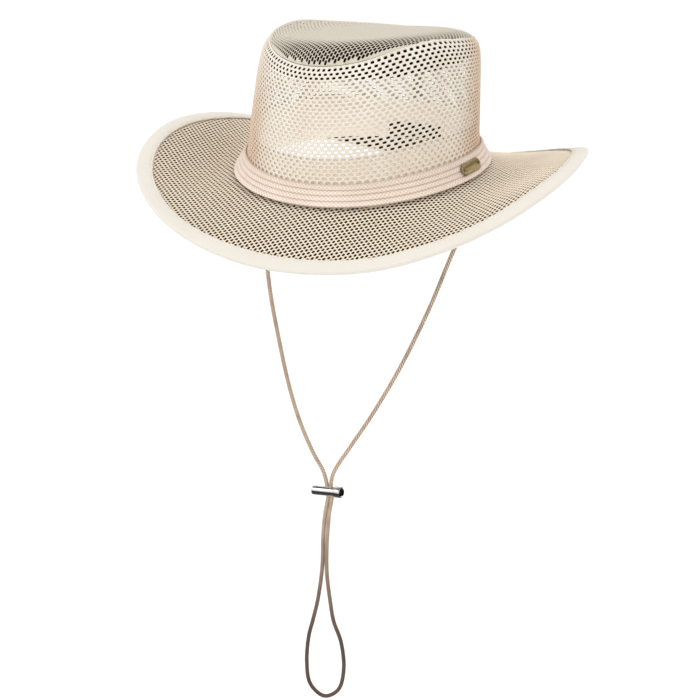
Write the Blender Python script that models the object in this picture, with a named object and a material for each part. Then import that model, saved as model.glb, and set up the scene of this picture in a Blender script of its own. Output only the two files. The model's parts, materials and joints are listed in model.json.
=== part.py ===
"""An outback hat of moulded net: creased crown, pleated band, bound brim and a chin cord with its lock.

Metres, +Z up. The front of the hat faces -Y and the wearer's left is +X. The origin is the middle of the
head opening, level with the root of the brim at the wearer's ears. Angles run round the hat from the
wearer's left (0) over the back (90) and the wearer's right (180) to the front (270).
"""

import math

import bmesh
import bpy
import numpy as np
from mathutils import Vector

SEGMENTS = 40

# Head opening, sweatband and brim root
HEAD_HALF_WIDTH = 0.081
HEAD_HALF_LENGTH = 0.1005
ROOT_DROOP = 0.004
SWEATBAND_THICKNESS = 0.0012
SWEATBAND_HEIGHT = 0.032
SWEATBAND_DROP = 0.0025
LAYER_GAP = 0.0004

# Crown
CROWN_THICKNESS = 0.0014
CROWN_HEIGHT = 0.095
FOOT_FLARE = 0.0052
TOP_CENTRE_SHIFT = 0.005
LINING_THICKNESS = 0.0008
LINING_GAP = 0.0008
SKIRT_LEAST = 0.003

# Band
BAND_HEIGHT = 0.0138
BAND_THICKNESS = 0.0011
BAND_PLEAT = 0.0011
BAND_LEAN = 0.0026
BAND_LIFT = 0.0017

# Brim
BRIM_WIDTH = 0.083
BRIM_DIP = 0.0057
BRIM_CURL = 1.25
BRIM_THICKNESS = 0.0010
UNDER_THICKNESS = 0.0010
BINDING_WIDTH = 0.0120
BINDING_THICKNESS = 0.0010

# Plate on the band
PLATE_LENGTH = 0.030
PLATE_HEIGHT = 0.0088
PLATE_THICKNESS = 0.0009
PLATE_HOLE = 0.0011
PLATE_HOLE_INSET = 0.0032
PLATE_ANGLE = -4.0
PLATE_MIDDLE = 0.50
PLATE_GAP = 0.0003
PLATE_SPAN = 0.2
PLATE_BEVEL = 0.4
PLATE_HOLE_SIDES = 12

# Cord and its sleeves
CORD_DIAMETER = 0.0032
CORD_POINTS = 80
ROUTE_STEPS = 24
SLEEVE_WALL = 0.0009
SLEEVE_LENGTH = 0.012
SLEEVE_SIDES = 12

# Cord lock, along its own axis from the crossing of the cords
LOCK_X = -0.0297
LOCK_Z = -0.2766
LOCK_TILT = 5.0
LOCK_TAIL = 0.0147
LOCK_HEAD = 0.0105
LOCK_RADIUS = 0.00375
LOCK_WALL = 0.0005
LOCK_END = 0.0018
COLLAR_RADIUS = 0.00445
COLLAR_LENGTH = 0.0060
CORD_PITCH = 0.0034
CORD_CLEARANCE = 0.00035
PLUNGER_GAP = 0.0003
PLUNGER_TAIL = 0.0086
PLUNGER_PROUD = 0.0014
PLUNGER_TRAVEL = 0.0022
LOCK_SIDES = 20

# Crown wall from its foot to the ridge. Height is a share of the way up, the reaches are shares of the
# crown's half width and half length, pinch narrows the front against the back, flare is a share of
# FOOT_FLARE.
CROWN_ROWS = [
    # height, side, front, back, pinch, flare
    (0.000, 1.000, 1.000, 1.000, 0.00, 1.00),
    (0.055, 0.999, 0.996, 1.000, 0.00, 0.55),
    (0.110, 0.996, 0.990, 0.999, 0.00, 0.22),
    (0.180, 0.992, 0.980, 0.997, 0.01, 0.04),
    (0.400, 0.978, 0.950, 0.992, 0.04, 0.00),
    (0.620, 0.960, 0.917, 0.986, 0.08, 0.00),
    (0.800, 0.942, 0.887, 0.977, 0.12, 0.00),
    (0.900, 0.923, 0.862, 0.965, 0.145, 0.00),
    (0.965, 0.896, 0.830, 0.945, 0.165, 0.00),
    (1.000, 0.860, 0.790, 0.915, 0.18, 0.00),
]

# Height of the ridge round the crown, as a share of CROWN_HEIGHT
RIDGE_ROWS = [
    # angle, height
    (0, 1.06),
    (20, 1),
    (50, 0.92),
    (90, 0.89),
    (130, 0.93),
    (160, 1.00),
    (185, 1.00),
    (215, 0.98),
    (245, 0.955),
    (270, 0.955),
    (300, 1.00),
    (325, 1.08),
    (345, 1.095),
]

# Height of the brim's edge over the level of the origin, and how far the brim swells up before it rolls over
# to the edge, as shares of BRIM_WIDTH
BRIM_ROWS = [
    # angle, height, roll
    (0, 0.135, 0.055),
    (15, 0.16, 0.03),
    (28, 0.065, 0.03),
    (42, -0.10, 0.045),
    (60, -0.30, 0.032),
    (78, -0.475, 0.03),
    (90, -0.52, 0.025),
    (105, -0.53, 0.02),
    (122, -0.39, 0.02),
    (138, -0.18, 0.02),
    (150, -0.025, 0.02),
    (165, 0.105, 0.022),
    (180, 0.153, 0.035),
    (195, 0.115, 0.05),
    (208, 0.055, 0.035),
    (225, -0.03, 0.01),
    (240, -0.141, 0.003),
    (255, -0.245, 0.015),
    (270, -0.318, 0.022),
    (285, -0.336, 0.016),
    (300, -0.305, 0.016),
    (315, -0.205, 0.03),
    (330, -0.077, 0.04),
    (345, 0.047, 0.067),
]

# How far each pleat of the band stands out, as a share of BAND_PLEAT, at shares of the band's height
PLEAT_ROWS = [
    # height, relief
    (0.00, 0.55),
    (0.05, 1.00),
    (0.24, 0.15),
    (0.29, 1.00),
    (0.49, 0.15),
    (0.54, 0.95),
    (0.73, 0.15),
    (0.78, 0.90),
    (0.96, 0.35),
    (1.00, 0.10),
]

# Shares of the brim's width at which its layers have a row of points
BRIM_STATIONS = (0.17, 0.34, 0.54, 0.72)

# Shares of the way from the middle of the top to the ridge, the height of its middle as a share of
# CROWN_HEIGHT, its rise for each metre to the wearer's left and its fall for each metre to the back
TOP_STATIONS = (1.0, 0.975, 0.95, 0.915, 0.87, 0.80, 0.66, 0.40)
TOP_LEVEL = 1.03
TOP_RISE = 0.10
TOP_FALL = 0.11
TOP_WALL_POWER = 10.0

# Stations of the lining's cap, the share of the wall's height at which its skirt starts and the level of the
# skirt's edge as a share of CROWN_HEIGHT
CAP_STATIONS = TOP_STATIONS[3:]
SKIRT_TOP = 0.94
SKIRT_LEVEL = 0.885

# Where the brim's roll is highest, as a share of its width
ROLL_PEAK = 0.75

# The cord's route from one sleeve to the other, in millimetres, on the plane of the wearer's ears
CORD_ROUTE = [
    # x, z
    (-87.5, -6.0),
    (-87.5, -19.0),
    (-88.2, -51.7),
    (-83.8, -89.0),
    (-80.1, -119.0),
    (-74.4, -149.5),
    (-66.1, -187.2),
    (-56.7, -217.8),
    (-45.0, -243.8),
    (-35.6, -259.2),
    (-31.9, -271.6),
    (-30.9, -281.8),
    (-33.5, -296.0),
    (-35.5, -316.7),
    (-36.5, -345.2),
    (-40.3, -373.6),
    (-44.9, -393.8),
    (-49.3, -411.9),
    (-51.1, -434.7),
    (-48.2, -454.4),
    (-35.4, -463.3),
    (-21.7, -453.5),
    (-17.2, -432.6),
    (-19.7, -409.9),
    (-26.3, -392.3),
    (-29.4, -374.7),
    (-32.3, -349.8),
    (-32.2, -325.0),
    (-30.2, -298.1),
    (-27.6, -281.5),
    (-28.5, -271.3),
    (-24.8, -257.1),
    (-10.6, -233.6),
    (9.4, -200.9),
    (32.2, -158.6),
    (54.9, -108.9),
    (73.7, -60.7),
    (87.1, -32.1),
    (87.5, -19.0),
    (87.5, -6.0),
]


def smooth_reader(rows, column, period=None):
    """A function that reads a table's column smoothly between its rows, round a circle if it has a period."""
    xs = [row[0] for row in rows]
    ys = [row[column] for row in rows]
    if period:
        xs = [xs[-2] - period, xs[-1] - period] + xs + [xs[0] + period, xs[1] + period]
        ys = ys[-2:] + ys + ys[:2]
    slopes = np.gradient(np.array(ys), np.array(xs))

    def read(x):
        if period:
            x = x % period
        x = min(max(x, xs[0]), xs[-1])
        k = min(int(np.searchsorted(xs, x, side="right")) - 1, len(xs) - 2)
        width = xs[k + 1] - xs[k]
        u = (x - xs[k]) / width
        ease = u * u * (3 - 2 * u)
        rise = slopes[k] * width * u * (1 - u) ** 2
        fall = slopes[k + 1] * width * u * u * (1 - u)
        return ys[k] * (1 - ease) + ys[k + 1] * ease + rise - fall

    return read


crown_side = smooth_reader(CROWN_ROWS, 1)
crown_front = smooth_reader(CROWN_ROWS, 2)
crown_back = smooth_reader(CROWN_ROWS, 3)
crown_pinch = smooth_reader(CROWN_ROWS, 4)
crown_flare = smooth_reader(CROWN_ROWS, 5)
ridge_share = smooth_reader(RIDGE_ROWS, 1, 360)
brim_share = smooth_reader(BRIM_ROWS, 1, 360)
brim_roll = smooth_reader(BRIM_ROWS, 2, 360)

CROWN_OUT = SWEATBAND_THICKNESS + LAYER_GAP + CROWN_THICKNESS
BRIM_IN = SWEATBAND_THICKNESS + LAYER_GAP
FOOT_SHARE = (CROWN_OUT + FOOT_FLARE - CROWN_THICKNESS - BRIM_IN) / BRIM_WIDTH


def oval(angle, side, front, back, pinch=0.0):
    """Plan of an egg-shaped oval: half width, reach to the front and to the back."""
    c = math.cos(math.radians(angle))
    s = math.sin(math.radians(angle))
    return side * c * (1 + pinch * s), (back if s > 0 else front) * s


def root_height(angle):
    """The brim's root sinks a little at the front and the back."""
    return -ROOT_DROOP * math.sin(math.radians(angle)) ** 2


def roll_shape(across):
    """Nothing at the root and the edge and 1 at the roll's peak."""
    power = ROLL_PEAK / (1 - ROLL_PEAK)
    return across**power * (1 - across) / (ROLL_PEAK**power * (1 - ROLL_PEAK))


def brim_point(across, angle):
    """Top surface of the net brim, from its root (0) to its edge (1)."""
    out = BRIM_IN + BRIM_WIDTH * across
    x, y = oval(angle, HEAD_HALF_WIDTH + out, HEAD_HALF_LENGTH + out, HEAD_HALF_LENGTH + out)
    root = root_height(angle)
    edge = BRIM_WIDTH * brim_share(angle)
    frontness = max(0.0, -math.sin(math.radians(angle))) ** 2
    dip = BRIM_DIP * (1 - 0.8 * frontness) * math.sin(math.pi * min(across, 1.0))
    roll = BRIM_WIDTH * brim_roll(angle) * roll_shape(min(across, 1.0))
    return Vector((x, y, root + (edge - root) * across**BRIM_CURL - dip + roll))


def ridge_height(angle):
    return CROWN_HEIGHT * ridge_share(angle)


def crown_point(height, angle, extra=0.0, flared=True):
    """Outer surface of the crown's wall, from its foot (0) to the ridge (1)."""
    out = CROWN_OUT + extra + (FOOT_FLARE * crown_flare(height) if flared else 0.0)
    half_width = HEAD_HALF_WIDTH * crown_side(height) + out
    front = HEAD_HALF_LENGTH * crown_front(height) + out
    back = HEAD_HALF_LENGTH * crown_back(height) + out
    x, y = oval(angle, half_width, front, back, crown_pinch(height))
    foot = brim_point(FOOT_SHARE, angle).z + LAYER_GAP
    return Vector((x, y, foot + (ridge_height(angle) - foot) * height))


def normal_of(surface, u, angle, step=0.004):
    """Outward unit normal of a surface given by a share u and an angle."""
    low = max(u - step, 0.0)
    high = min(u + step, 1.0)
    along = surface(high, angle) - surface(low, angle)
    around = surface(u, angle + 0.5) - surface(u, angle - 0.5)
    return around.cross(along).normalized()


def level(direction):
    """The same direction without its rise."""
    return Vector((direction.x, direction.y, 0.0)).normalized()


def ring(make_point):
    """One ring of points round the hat."""
    return [make_point(360.0 * i / SEGMENTS) for i in range(SEGMENTS)]


def material(name, colour, roughness, metallic=0.0):
    made = bpy.data.materials.new(name)
    made.use_nodes = True
    shader = made.node_tree.nodes["Principled BSDF"]
    shader.inputs["Base Color"].default_value = (*colour, 1.0)
    shader.inputs["Roughness"].default_value = roughness
    shader.inputs["Metallic"].default_value = metallic
    return made


def mesh_object(name, bm, finish, smooth_angle=40.0):
    """Turn a bmesh into a named object with outward faces."""
    bmesh.ops.recalc_face_normals(bm, faces=bm.faces)
    mesh = bpy.data.meshes.new(name)
    bm.to_mesh(mesh)
    bm.free()
    mesh.shade_smooth()
    mesh.set_sharp_from_angle(angle=math.radians(smooth_angle))
    mesh.materials.append(finish)
    made = bpy.data.objects.new(name, mesh)
    bpy.context.scene.collection.objects.link(made)
    return made


def outwardness(points):
    """Grows on the way from the crown's top down its wall and out along the brim."""
    return sum(math.hypot(point.x, point.y) - point.z for point in points) / len(points)


def joined_rings(bm, rings, closed):
    """Faces between neighbouring rings of points, and from the last ring to the first if closed.

    Every face's diagonal runs from the inner ring to the outer one in the same turn, so that layers
    which lie on each other bend alike and stay apart.
    """
    made = [[bm.verts.new(point) for point in points] for points in rings]
    order = [outwardness(points) for points in rings]
    pairs = list(zip(range(len(made)), range(1, len(made))))
    if closed:
        pairs.append((len(made) - 1, 0))
    for a, b in pairs:
        inner, outer = (made[a], made[b]) if order[a] < order[b] else (made[b], made[a])
        count = len(inner)
        for i in range(count):
            j = (i + 1) % count
            bm.faces.new((inner[i], inner[j], outer[j]))
            bm.faces.new((inner[i], outer[j], outer[i]))
    return made


def ring_shell(name, rings, finish):
    """A closed body whose section is a loop of points, carried round the hat."""
    bm = bmesh.new()
    joined_rings(bm, rings, closed=True)
    return mesh_object(name, bm, finish)


def lidded_shell(name, rings, first_pole, last_pole, finish, smooth_angle=40.0):
    """A closed body of rings that ends in a point at each end."""
    bm = bmesh.new()
    made = joined_rings(bm, rings, closed=False)
    for pole, points in ((first_pole, made[0]), (last_pole, made[-1])):
        tip = bm.verts.new(pole)
        for i, point in enumerate(points):
            bm.faces.new((tip, point, points[(i + 1) % len(points)]))
    return mesh_object(name, bm, finish, smooth_angle)


def crown_wall(finish):
    """The net wall, flared at its foot and rounded over to the ridge."""
    heights = [row[0] for row in CROWN_ROWS]

    def inner(height):
        def point(angle):
            direction = normal_of(crown_point, height, angle)
            if height == heights[0]:
                direction = level(direction)
            if height == heights[-1]:
                direction = Vector((0.0, 0.0, 1.0))
            return crown_point(height, angle) - direction * CROWN_THICKNESS
        return point

    outside = [ring(lambda angle, h=h: crown_point(h, angle)) for h in heights]
    inside = [ring(inner(h)) for h in reversed(heights)]
    return ring_shell("crown_wall", outside + inside, finish)


def top_point(reach, angle, drop=0.0):
    """Surface of the crown's top, from its middle (0) down its steep side to the ridge (1)."""
    ridge = crown_point(1.0, angle, extra=-LAYER_GAP)
    x = ridge.x * reach
    y = TOP_CENTRE_SHIFT + (ridge.y - TOP_CENTRE_SHIFT) * reach
    floor = CROWN_HEIGHT * TOP_LEVEL + TOP_RISE * x - TOP_FALL * y
    wall = reach**TOP_WALL_POWER
    return Vector((x, y, ridge.z * wall + floor * (1 - wall) - drop))


def top_rings(stations, depth):
    return [ring(lambda angle, r=r: top_point(r, angle, depth)) for r in stations]


def crown_top(finish):
    """The net top, which swells up inside the ridge and falls to the back."""
    rings = top_rings(reversed(TOP_STATIONS), 0.0) + top_rings(TOP_STATIONS, CROWN_THICKNESS)
    poles = top_point(0.0, 0.0), top_point(0.0, 0.0, CROWN_THICKNESS)
    return lidded_shell("crown_top", rings, poles[0], poles[1], finish)


def skirt_share(angle):
    """Share of the wall's height at which the lining's skirt ends."""
    ridge = ridge_height(angle)
    edge = min(CROWN_HEIGHT * SKIRT_LEVEL, ridge * SKIRT_TOP - SKIRT_LEAST)
    return edge / ridge


def crown_lining(finish):
    """A dark cap close under the net top, whose skirt hangs inside the wall to a nearly level edge."""
    near = CROWN_THICKNESS + LINING_GAP
    far = near + LINING_THICKNESS
    rings = top_rings(reversed(CAP_STATIONS), near)
    rings.append(ring(lambda angle: crown_point(SKIRT_TOP, angle, extra=-near)))
    rings.append(ring(lambda angle: crown_point(skirt_share(angle), angle, extra=-near)))
    rings.append(ring(lambda angle: crown_point(skirt_share(angle), angle, extra=-far)))
    rings.append(ring(lambda angle: crown_point(SKIRT_TOP, angle, extra=-far)))
    rings += top_rings(CAP_STATIONS, far)
    return lidded_shell("crown_lining", rings, top_point(0.0, 0.0, near), top_point(0.0, 0.0, far), finish)


def sweatband(finish):
    """A smooth band inside the foot of the crown."""
    top = SWEATBAND_HEIGHT / CROWN_HEIGHT
    outside = -(CROWN_THICKNESS + LAYER_GAP)

    def point(height, inward):
        def at(angle):
            made = crown_point(max(height, 0.0), angle, extra=outside - inward, flared=False)
            if height <= 0.0:
                made.z = root_height(angle) - SWEATBAND_DROP
            return made
        return at

    heights = (0.0, top * 0.5, top)
    rings = [ring(point(h, 0.0)) for h in heights]
    rings += [ring(point(h, SWEATBAND_THICKNESS)) for h in reversed(heights)]
    return ring_shell("sweatband", rings, finish)


def band_point(height, angle, outward):
    """A point at a share of the band's height and a distance off the crown's wall."""
    share = (BAND_LIFT + BAND_HEIGHT * height) / CROWN_HEIGHT
    return crown_point(share, angle) + level(normal_of(crown_point, share, angle)) * outward


def hat_band(finish):
    """The pleated band, whose lower edge stands off the crown."""
    inside = []
    outside = []
    for height, relief in PLEAT_ROWS:
        lean = BAND_LEAN * (1 - height)
        near = LAYER_GAP + lean
        far = near + BAND_THICKNESS + BAND_PLEAT * relief
        inside.append(ring(lambda angle, h=height, d=near: band_point(h, angle, d)))
        outside.append(ring(lambda angle, h=height, d=far: band_point(h, angle, d)))
    return ring_shell("hat_band", outside + inside[::-1], finish)


def brim_layer_point(across, angle, rise):
    return brim_point(across, angle) + normal_up(across, angle) * rise


def normal_up(across, angle):
    """Upward unit normal of the brim, which is upright at its root so that its inner edge is too."""
    if across == 0.0:
        return Vector((0.0, 0.0, 1.0))
    made = normal_of(brim_point, across, angle)
    return made if made.z > 0 else -made


def brim_layer(name, stations, top, bottom, finish):
    """One cloth layer of the brim between two heights over its top surface."""
    upper = [ring(lambda angle, a=a: brim_layer_point(a, angle, top)) for a in stations]
    lower = [ring(lambda angle, a=a: brim_layer_point(a, angle, bottom)) for a in reversed(stations)]
    return ring_shell(name, upper + lower, finish)


def brim_stations():
    """Where the binding starts, and where the net ends inside it."""
    start = 1 - BINDING_WIDTH / BRIM_WIDTH
    end = 1 - (BINDING_THICKNESS + LAYER_GAP) / BRIM_WIDTH
    return start, end


def brim_mesh(finish):
    start, end = brim_stations()
    stations = (0.0, FOOT_SHARE) + BRIM_STATIONS + (start, end)
    return brim_layer("brim_mesh", stations, 0.0, -BRIM_THICKNESS, finish)


def under_brim(finish):
    start = brim_stations()[0]
    top = -BRIM_THICKNESS - LAYER_GAP
    stop = start - LAYER_GAP / BRIM_WIDTH
    stations = (0.0, FOOT_SHARE) + BRIM_STATIONS + (stop,)
    return brim_layer("under_brim", stations, top, top - UNDER_THICKNESS, finish)


def brim_binding(finish):
    """A tape folded round the edge of the net."""
    start, end = brim_stations()
    near = LAYER_GAP
    far = LAYER_GAP + BINDING_THICKNESS
    below = -BRIM_THICKNESS
    section = [
        (start, near),
        (start, far),
        (end, far),
        (1.0, near),
        (1.0, below - near),
        (end, below - far),
        (start, below - far),
        (start, below - near),
        (end, below - near),
        (end + near / BRIM_WIDTH / 2, below / 2),
        (end, near),
    ]
    rings = [ring(lambda angle, a=a, r=r: brim_layer_point(a, angle, r)) for a, r in section]
    return ring_shell("brim_binding", rings, finish)


def stadium(length, height, sides=8):
    """Outline of a bar with round ends, in its own plane."""
    radius = height / 2
    straight = length / 2 - radius
    points = []
    for centre, first in ((straight, -90.0), (-straight, 90.0)):
        for i in range(sides + 1):
            turn = math.radians(first + 180.0 * i / sides)
            points.append((centre + radius * math.cos(turn), radius * math.sin(turn)))
    return points


def label_plate(finish):
    """A bare metal plate with two pin holes, flat against the band at the wearer's left."""
    lean = BAND_LEAN * (1 - PLATE_MIDDLE)
    reach = LAYER_GAP + lean + BAND_THICKNESS + BAND_PLEAT
    middle = band_point(PLATE_MIDDLE, PLATE_ANGLE, reach)
    upper = band_point(PLATE_MIDDLE + PLATE_SPAN, PLATE_ANGLE, reach - BAND_LEAN * PLATE_SPAN)
    around = band_point(PLATE_MIDDLE, PLATE_ANGLE + 1, reach) - band_point(PLATE_MIDDLE, PLATE_ANGLE - 1, reach)
    along = around.normalized()
    out = along.cross(upper - middle).normalized()
    rise = out.cross(along)
    bm = bmesh.new()
    outline = stadium(PLATE_LENGTH, PLATE_HEIGHT)
    layers = []
    bevel = PLATE_THICKNESS * PLATE_BEVEL
    for depth, inset in ((0.0, 0.0), (PLATE_THICKNESS - bevel, 0.0), (PLATE_THICKNESS, bevel)):
        scale_u = 1 - 2 * inset / PLATE_LENGTH
        scale_v = 1 - 2 * inset / PLATE_HEIGHT
        base = middle + out * (PLATE_GAP + depth)
        layers.append([base + along * (u * scale_u) + rise * (v * scale_v) for u, v in outline])
    made = joined_rings(bm, layers, closed=False)
    bm.faces.new(made[0][::-1])
    bm.faces.new(made[-1])
    plate = mesh_object("label_plate", bm, finish, smooth_angle=30.0)
    for side in (-1, 1):
        spot = middle + along * side * (PLATE_LENGTH / 2 - PLATE_HOLE_INSET) + out * PLATE_GAP
        cutter = cylinder_between(
            f"plate_hole_{'back' if side > 0 else 'front'}",
            spot - out * PLATE_THICKNESS,
            spot + out * 2 * PLATE_THICKNESS,
            PLATE_HOLE,
            PLATE_HOLE_SIDES,
            finish,
        )
        cut(plate, cutter)
    return plate


def cylinder_between(name, start, end, radius, sides, finish):
    """A plain cylinder with its axis from start to end."""
    axis = (end - start).normalized()
    first = axis.orthogonal().normalized()
    second = axis.cross(first)
    rings = []
    for centre in (start, end):
        turns = [2 * math.pi * i / sides for i in range(sides)]
        rings.append([centre + first * radius * math.cos(a) + second * radius * math.sin(a) for a in turns])
    bm = bmesh.new()
    made = joined_rings(bm, rings, closed=False)
    bm.faces.new(made[0][::-1])
    bm.faces.new(made[-1])
    return mesh_object(name, bm, finish)


def cut(body, cutter):
    """Take the cutter's space out of the body."""
    cutter.hide_render = True
    cutter.display_type = "WIRE"
    modifier = body.modifiers.new(cutter.name, "BOOLEAN")
    modifier.operation = "DIFFERENCE"
    modifier.solver = "EXACT"
    modifier.object = cutter


def turned(name, profile, sides, finish, smooth_angle=40.0):
    """A body turned about its own X axis, from a profile of (x, radius) whose ends lie on the axis."""
    turns = [2 * math.pi * i / sides for i in range(sides)]
    rings = []
    for x, radius in profile[1:-1]:
        rings.append([Vector((x, radius * math.cos(a), radius * math.sin(a))) for a in turns])
    first = Vector((profile[0][0], 0.0, 0.0))
    last = Vector((profile[-1][0], 0.0, 0.0))
    return lidded_shell(name, rings, first, last, finish, smooth_angle)


def cord_tab(side, finish):
    """A small sewn sleeve under the brim's root that holds one end of the cord."""
    bore = CORD_DIAMETER / 2 + CORD_CLEARANCE
    radius = bore + SLEEVE_WALL
    x = side * abs(CORD_ROUTE[0][0]) / 1000
    share = (abs(x) + radius - HEAD_HALF_WIDTH - BRIM_IN) / BRIM_WIDTH
    top = brim_point(share, 0 if side > 0 else 180).z - BRIM_THICKNESS - UNDER_THICKNESS - 3 * LAYER_GAP
    turns = [2 * math.pi * i / SLEEVE_SIDES for i in range(SLEEVE_SIDES)]

    def circle(r, z):
        return [Vector((x + r * math.cos(a), r * math.sin(a), z)) for a in turns]

    bottom = top - SLEEVE_LENGTH
    roof = top - SLEEVE_WALL
    rings = [circle(radius, top), circle(radius, bottom), circle(bore, bottom), circle(bore, roof)]
    poles = Vector((x, 0.0, top)), Vector((x, 0.0, roof))
    name = "cord_tab_left" if side > 0 else "cord_tab_right"
    return lidded_shell(name, rings, poles[0], poles[1], finish)


def smooth_route(points, count):
    """Evenly spaced points of a smooth curve through the route's points."""
    ends = [points[0] * 2 - points[1]] + points + [points[-1] * 2 - points[-2]]
    fine = []
    for a, b, c, d in zip(ends, ends[1:], ends[2:], ends[3:]):
        for k in range(ROUTE_STEPS):
            u = k / ROUTE_STEPS
            fine.append(
                0.5 * (2 * b + (c - a) * u + (2 * a - 5 * b + 4 * c - d) * u**2 + (3 * b - a - 3 * c + d) * u**3)
            )
    fine.append(points[-1])
    travelled = [0.0]
    for a, b in zip(fine, fine[1:]):
        travelled.append(travelled[-1] + (b - a).length)
    spots = np.linspace(0.0, travelled[-1], count)
    columns = [np.interp(spots, travelled, [point[k] for point in fine]) for k in range(3)]
    return [Vector(spot) for spot in zip(*columns)]


def chin_cord(finish):
    """One cord from sleeve to sleeve, with its loop below the lock."""
    route = [Vector((x / 1000, 0.0, z / 1000)) for x, z in CORD_ROUTE]
    points = smooth_route(route, CORD_POINTS)
    curve = bpy.data.curves.new("chin_cord", "CURVE")
    curve.dimensions = "3D"
    curve.bevel_depth = CORD_DIAMETER / 2
    curve.bevel_resolution = 2
    curve.use_fill_caps = True
    spline = curve.splines.new("POLY")
    spline.points.add(len(points) - 1)
    for spot, point in zip(spline.points, points):
        spot.co = (*point, 1.0)
    curve.materials.append(finish)
    made = bpy.data.objects.new("chin_cord", curve)
    bpy.context.scene.collection.objects.link(made)
    return made


def cord_slot(name, low, high, half_width, parent, finish):
    """A box-shaped cutter across the lock, between two places on its axis."""
    reach = COLLAR_RADIUS * 2
    bm = bmesh.new()
    corners = [(low, -half_width), (high, -half_width), (high, half_width), (low, half_width)]
    layers = [[Vector((x, y, z)) for x, y in corners] for z in (-reach, reach)]
    made = joined_rings(bm, layers, closed=False)
    bm.faces.new(made[0][::-1])
    bm.faces.new(made[-1])
    cutter = mesh_object(name, bm, finish)
    cutter.parent = parent
    return cutter


def cord_lock(metal, dark):
    """A barrel and its spring plunger, both crossed by a slot for the two strands of the cord."""
    frame = bpy.data.objects.new("lock_frame", None)
    frame.location = (LOCK_X, 0.0, LOCK_Z)
    frame.rotation_euler = (0.0, math.radians(-LOCK_TILT), 0.0)
    bpy.context.scene.collection.objects.link(frame)
    slot_reach = CORD_PITCH / 2 + CORD_DIAMETER / 2 + CORD_CLEARANCE
    slot_half_width = CORD_DIAMETER / 2 + CORD_CLEARANCE
    bore = LOCK_RADIUS - LOCK_WALL
    edge = LOCK_WALL
    collar_start = LOCK_HEAD - COLLAR_LENGTH
    profile = [
        (-LOCK_TAIL, 0.0),
        (-LOCK_TAIL, LOCK_RADIUS - edge),
        (-LOCK_TAIL + edge, LOCK_RADIUS),
        (collar_start, LOCK_RADIUS),
        (collar_start + edge, COLLAR_RADIUS),
        (LOCK_HEAD - edge, COLLAR_RADIUS),
        (LOCK_HEAD, COLLAR_RADIUS - edge),
        (LOCK_HEAD, bore + edge),
        (LOCK_HEAD - edge, bore),
        (-LOCK_TAIL + LOCK_END, bore),
        (-LOCK_TAIL + LOCK_END, 0.0),
    ]
    barrel = turned("lock_barrel", profile, LOCK_SIDES, metal)
    barrel.parent = frame
    cut(barrel, cord_slot("barrel_slot", -slot_reach, slot_reach, slot_half_width, frame, metal))

    radius = bore - PLUNGER_GAP
    tip = LOCK_HEAD + PLUNGER_PROUD
    plunger_profile = [
        (-PLUNGER_TAIL, 0.0),
        (-PLUNGER_TAIL, radius),
        (tip - edge, radius),
        (tip, radius - edge),
        (tip, 0.0),
    ]
    plunger = turned("lock_plunger", plunger_profile, LOCK_SIDES, dark)
    plunger.parent = frame
    cutter = cord_slot("plunger_slot", -slot_reach, slot_reach + PLUNGER_TRAVEL, slot_half_width, frame, dark)
    cut(plunger, cutter)


def build():
    for old in list(bpy.data.objects):
        bpy.data.objects.remove(old, do_unlink=True)
    net = material("ivory_net", (0.74, 0.62, 0.47), 0.7)
    cloth = material("ivory_cloth", (0.84, 0.76, 0.64), 0.8)
    peach = material("peach_cloth", (0.76, 0.58, 0.42), 0.85)
    taupe = material("dark_taupe_cloth", (0.05, 0.035, 0.025), 0.9)
    braid = material("tan_braid", (0.45, 0.32, 0.22), 0.8)
    brass = material("antique_brass", (0.62, 0.45, 0.18), 0.35, 1.0)
    nickel = material("bright_nickel", (0.78, 0.77, 0.74), 0.15, 1.0)
    black = material("black_nickel", (0.06, 0.05, 0.05), 0.3, 0.6)
    crown_wall(net)
    crown_top(net)
    crown_lining(taupe)
    sweatband(peach)
    hat_band(cloth)
    brim_mesh(net)
    under_brim(taupe)
    brim_binding(cloth)
    label_plate(brass)
    for side in (1, -1):
        cord_tab(side, peach)
    chin_cord(braid)
    cord_lock(nickel, black)


build()
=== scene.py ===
"""Looks of an outback hat: a pierced net crown and brim, a pleated band, a bound edge and a chin cord.

Metres, +Z up. The hat's front faces -Y and the wearer's left is +X. Angles run round the hat from the
wearer's left (0) over the back (90) and the wearer's right (180) to the front (270).
"""

import json
import math

import bmesh
import bpy
import numpy as np
from mathutils import Matrix, Vector

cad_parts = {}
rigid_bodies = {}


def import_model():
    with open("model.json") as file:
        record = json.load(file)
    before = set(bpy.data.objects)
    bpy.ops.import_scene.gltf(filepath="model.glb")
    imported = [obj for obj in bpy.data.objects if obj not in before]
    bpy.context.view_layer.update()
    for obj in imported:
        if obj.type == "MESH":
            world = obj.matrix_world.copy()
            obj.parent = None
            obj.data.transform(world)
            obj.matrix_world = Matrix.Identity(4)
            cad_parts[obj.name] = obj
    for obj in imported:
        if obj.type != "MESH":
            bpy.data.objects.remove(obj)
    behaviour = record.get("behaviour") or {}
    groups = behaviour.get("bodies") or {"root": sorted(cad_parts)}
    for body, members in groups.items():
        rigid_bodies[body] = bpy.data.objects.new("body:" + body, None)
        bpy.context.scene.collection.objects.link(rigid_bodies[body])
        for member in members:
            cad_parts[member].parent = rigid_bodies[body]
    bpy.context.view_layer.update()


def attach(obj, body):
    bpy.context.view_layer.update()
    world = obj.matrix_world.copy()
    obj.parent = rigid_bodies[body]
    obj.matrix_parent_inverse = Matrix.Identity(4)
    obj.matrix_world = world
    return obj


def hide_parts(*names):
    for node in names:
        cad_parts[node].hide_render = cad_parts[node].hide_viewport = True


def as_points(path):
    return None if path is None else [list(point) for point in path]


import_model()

# Head opening and brim root
HEAD_HALF_WIDTH = 0.081
HEAD_HALF_LENGTH = 0.1005
ROOT_DROOP = 0.004
SWEATBAND_THICKNESS = 0.0012
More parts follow.
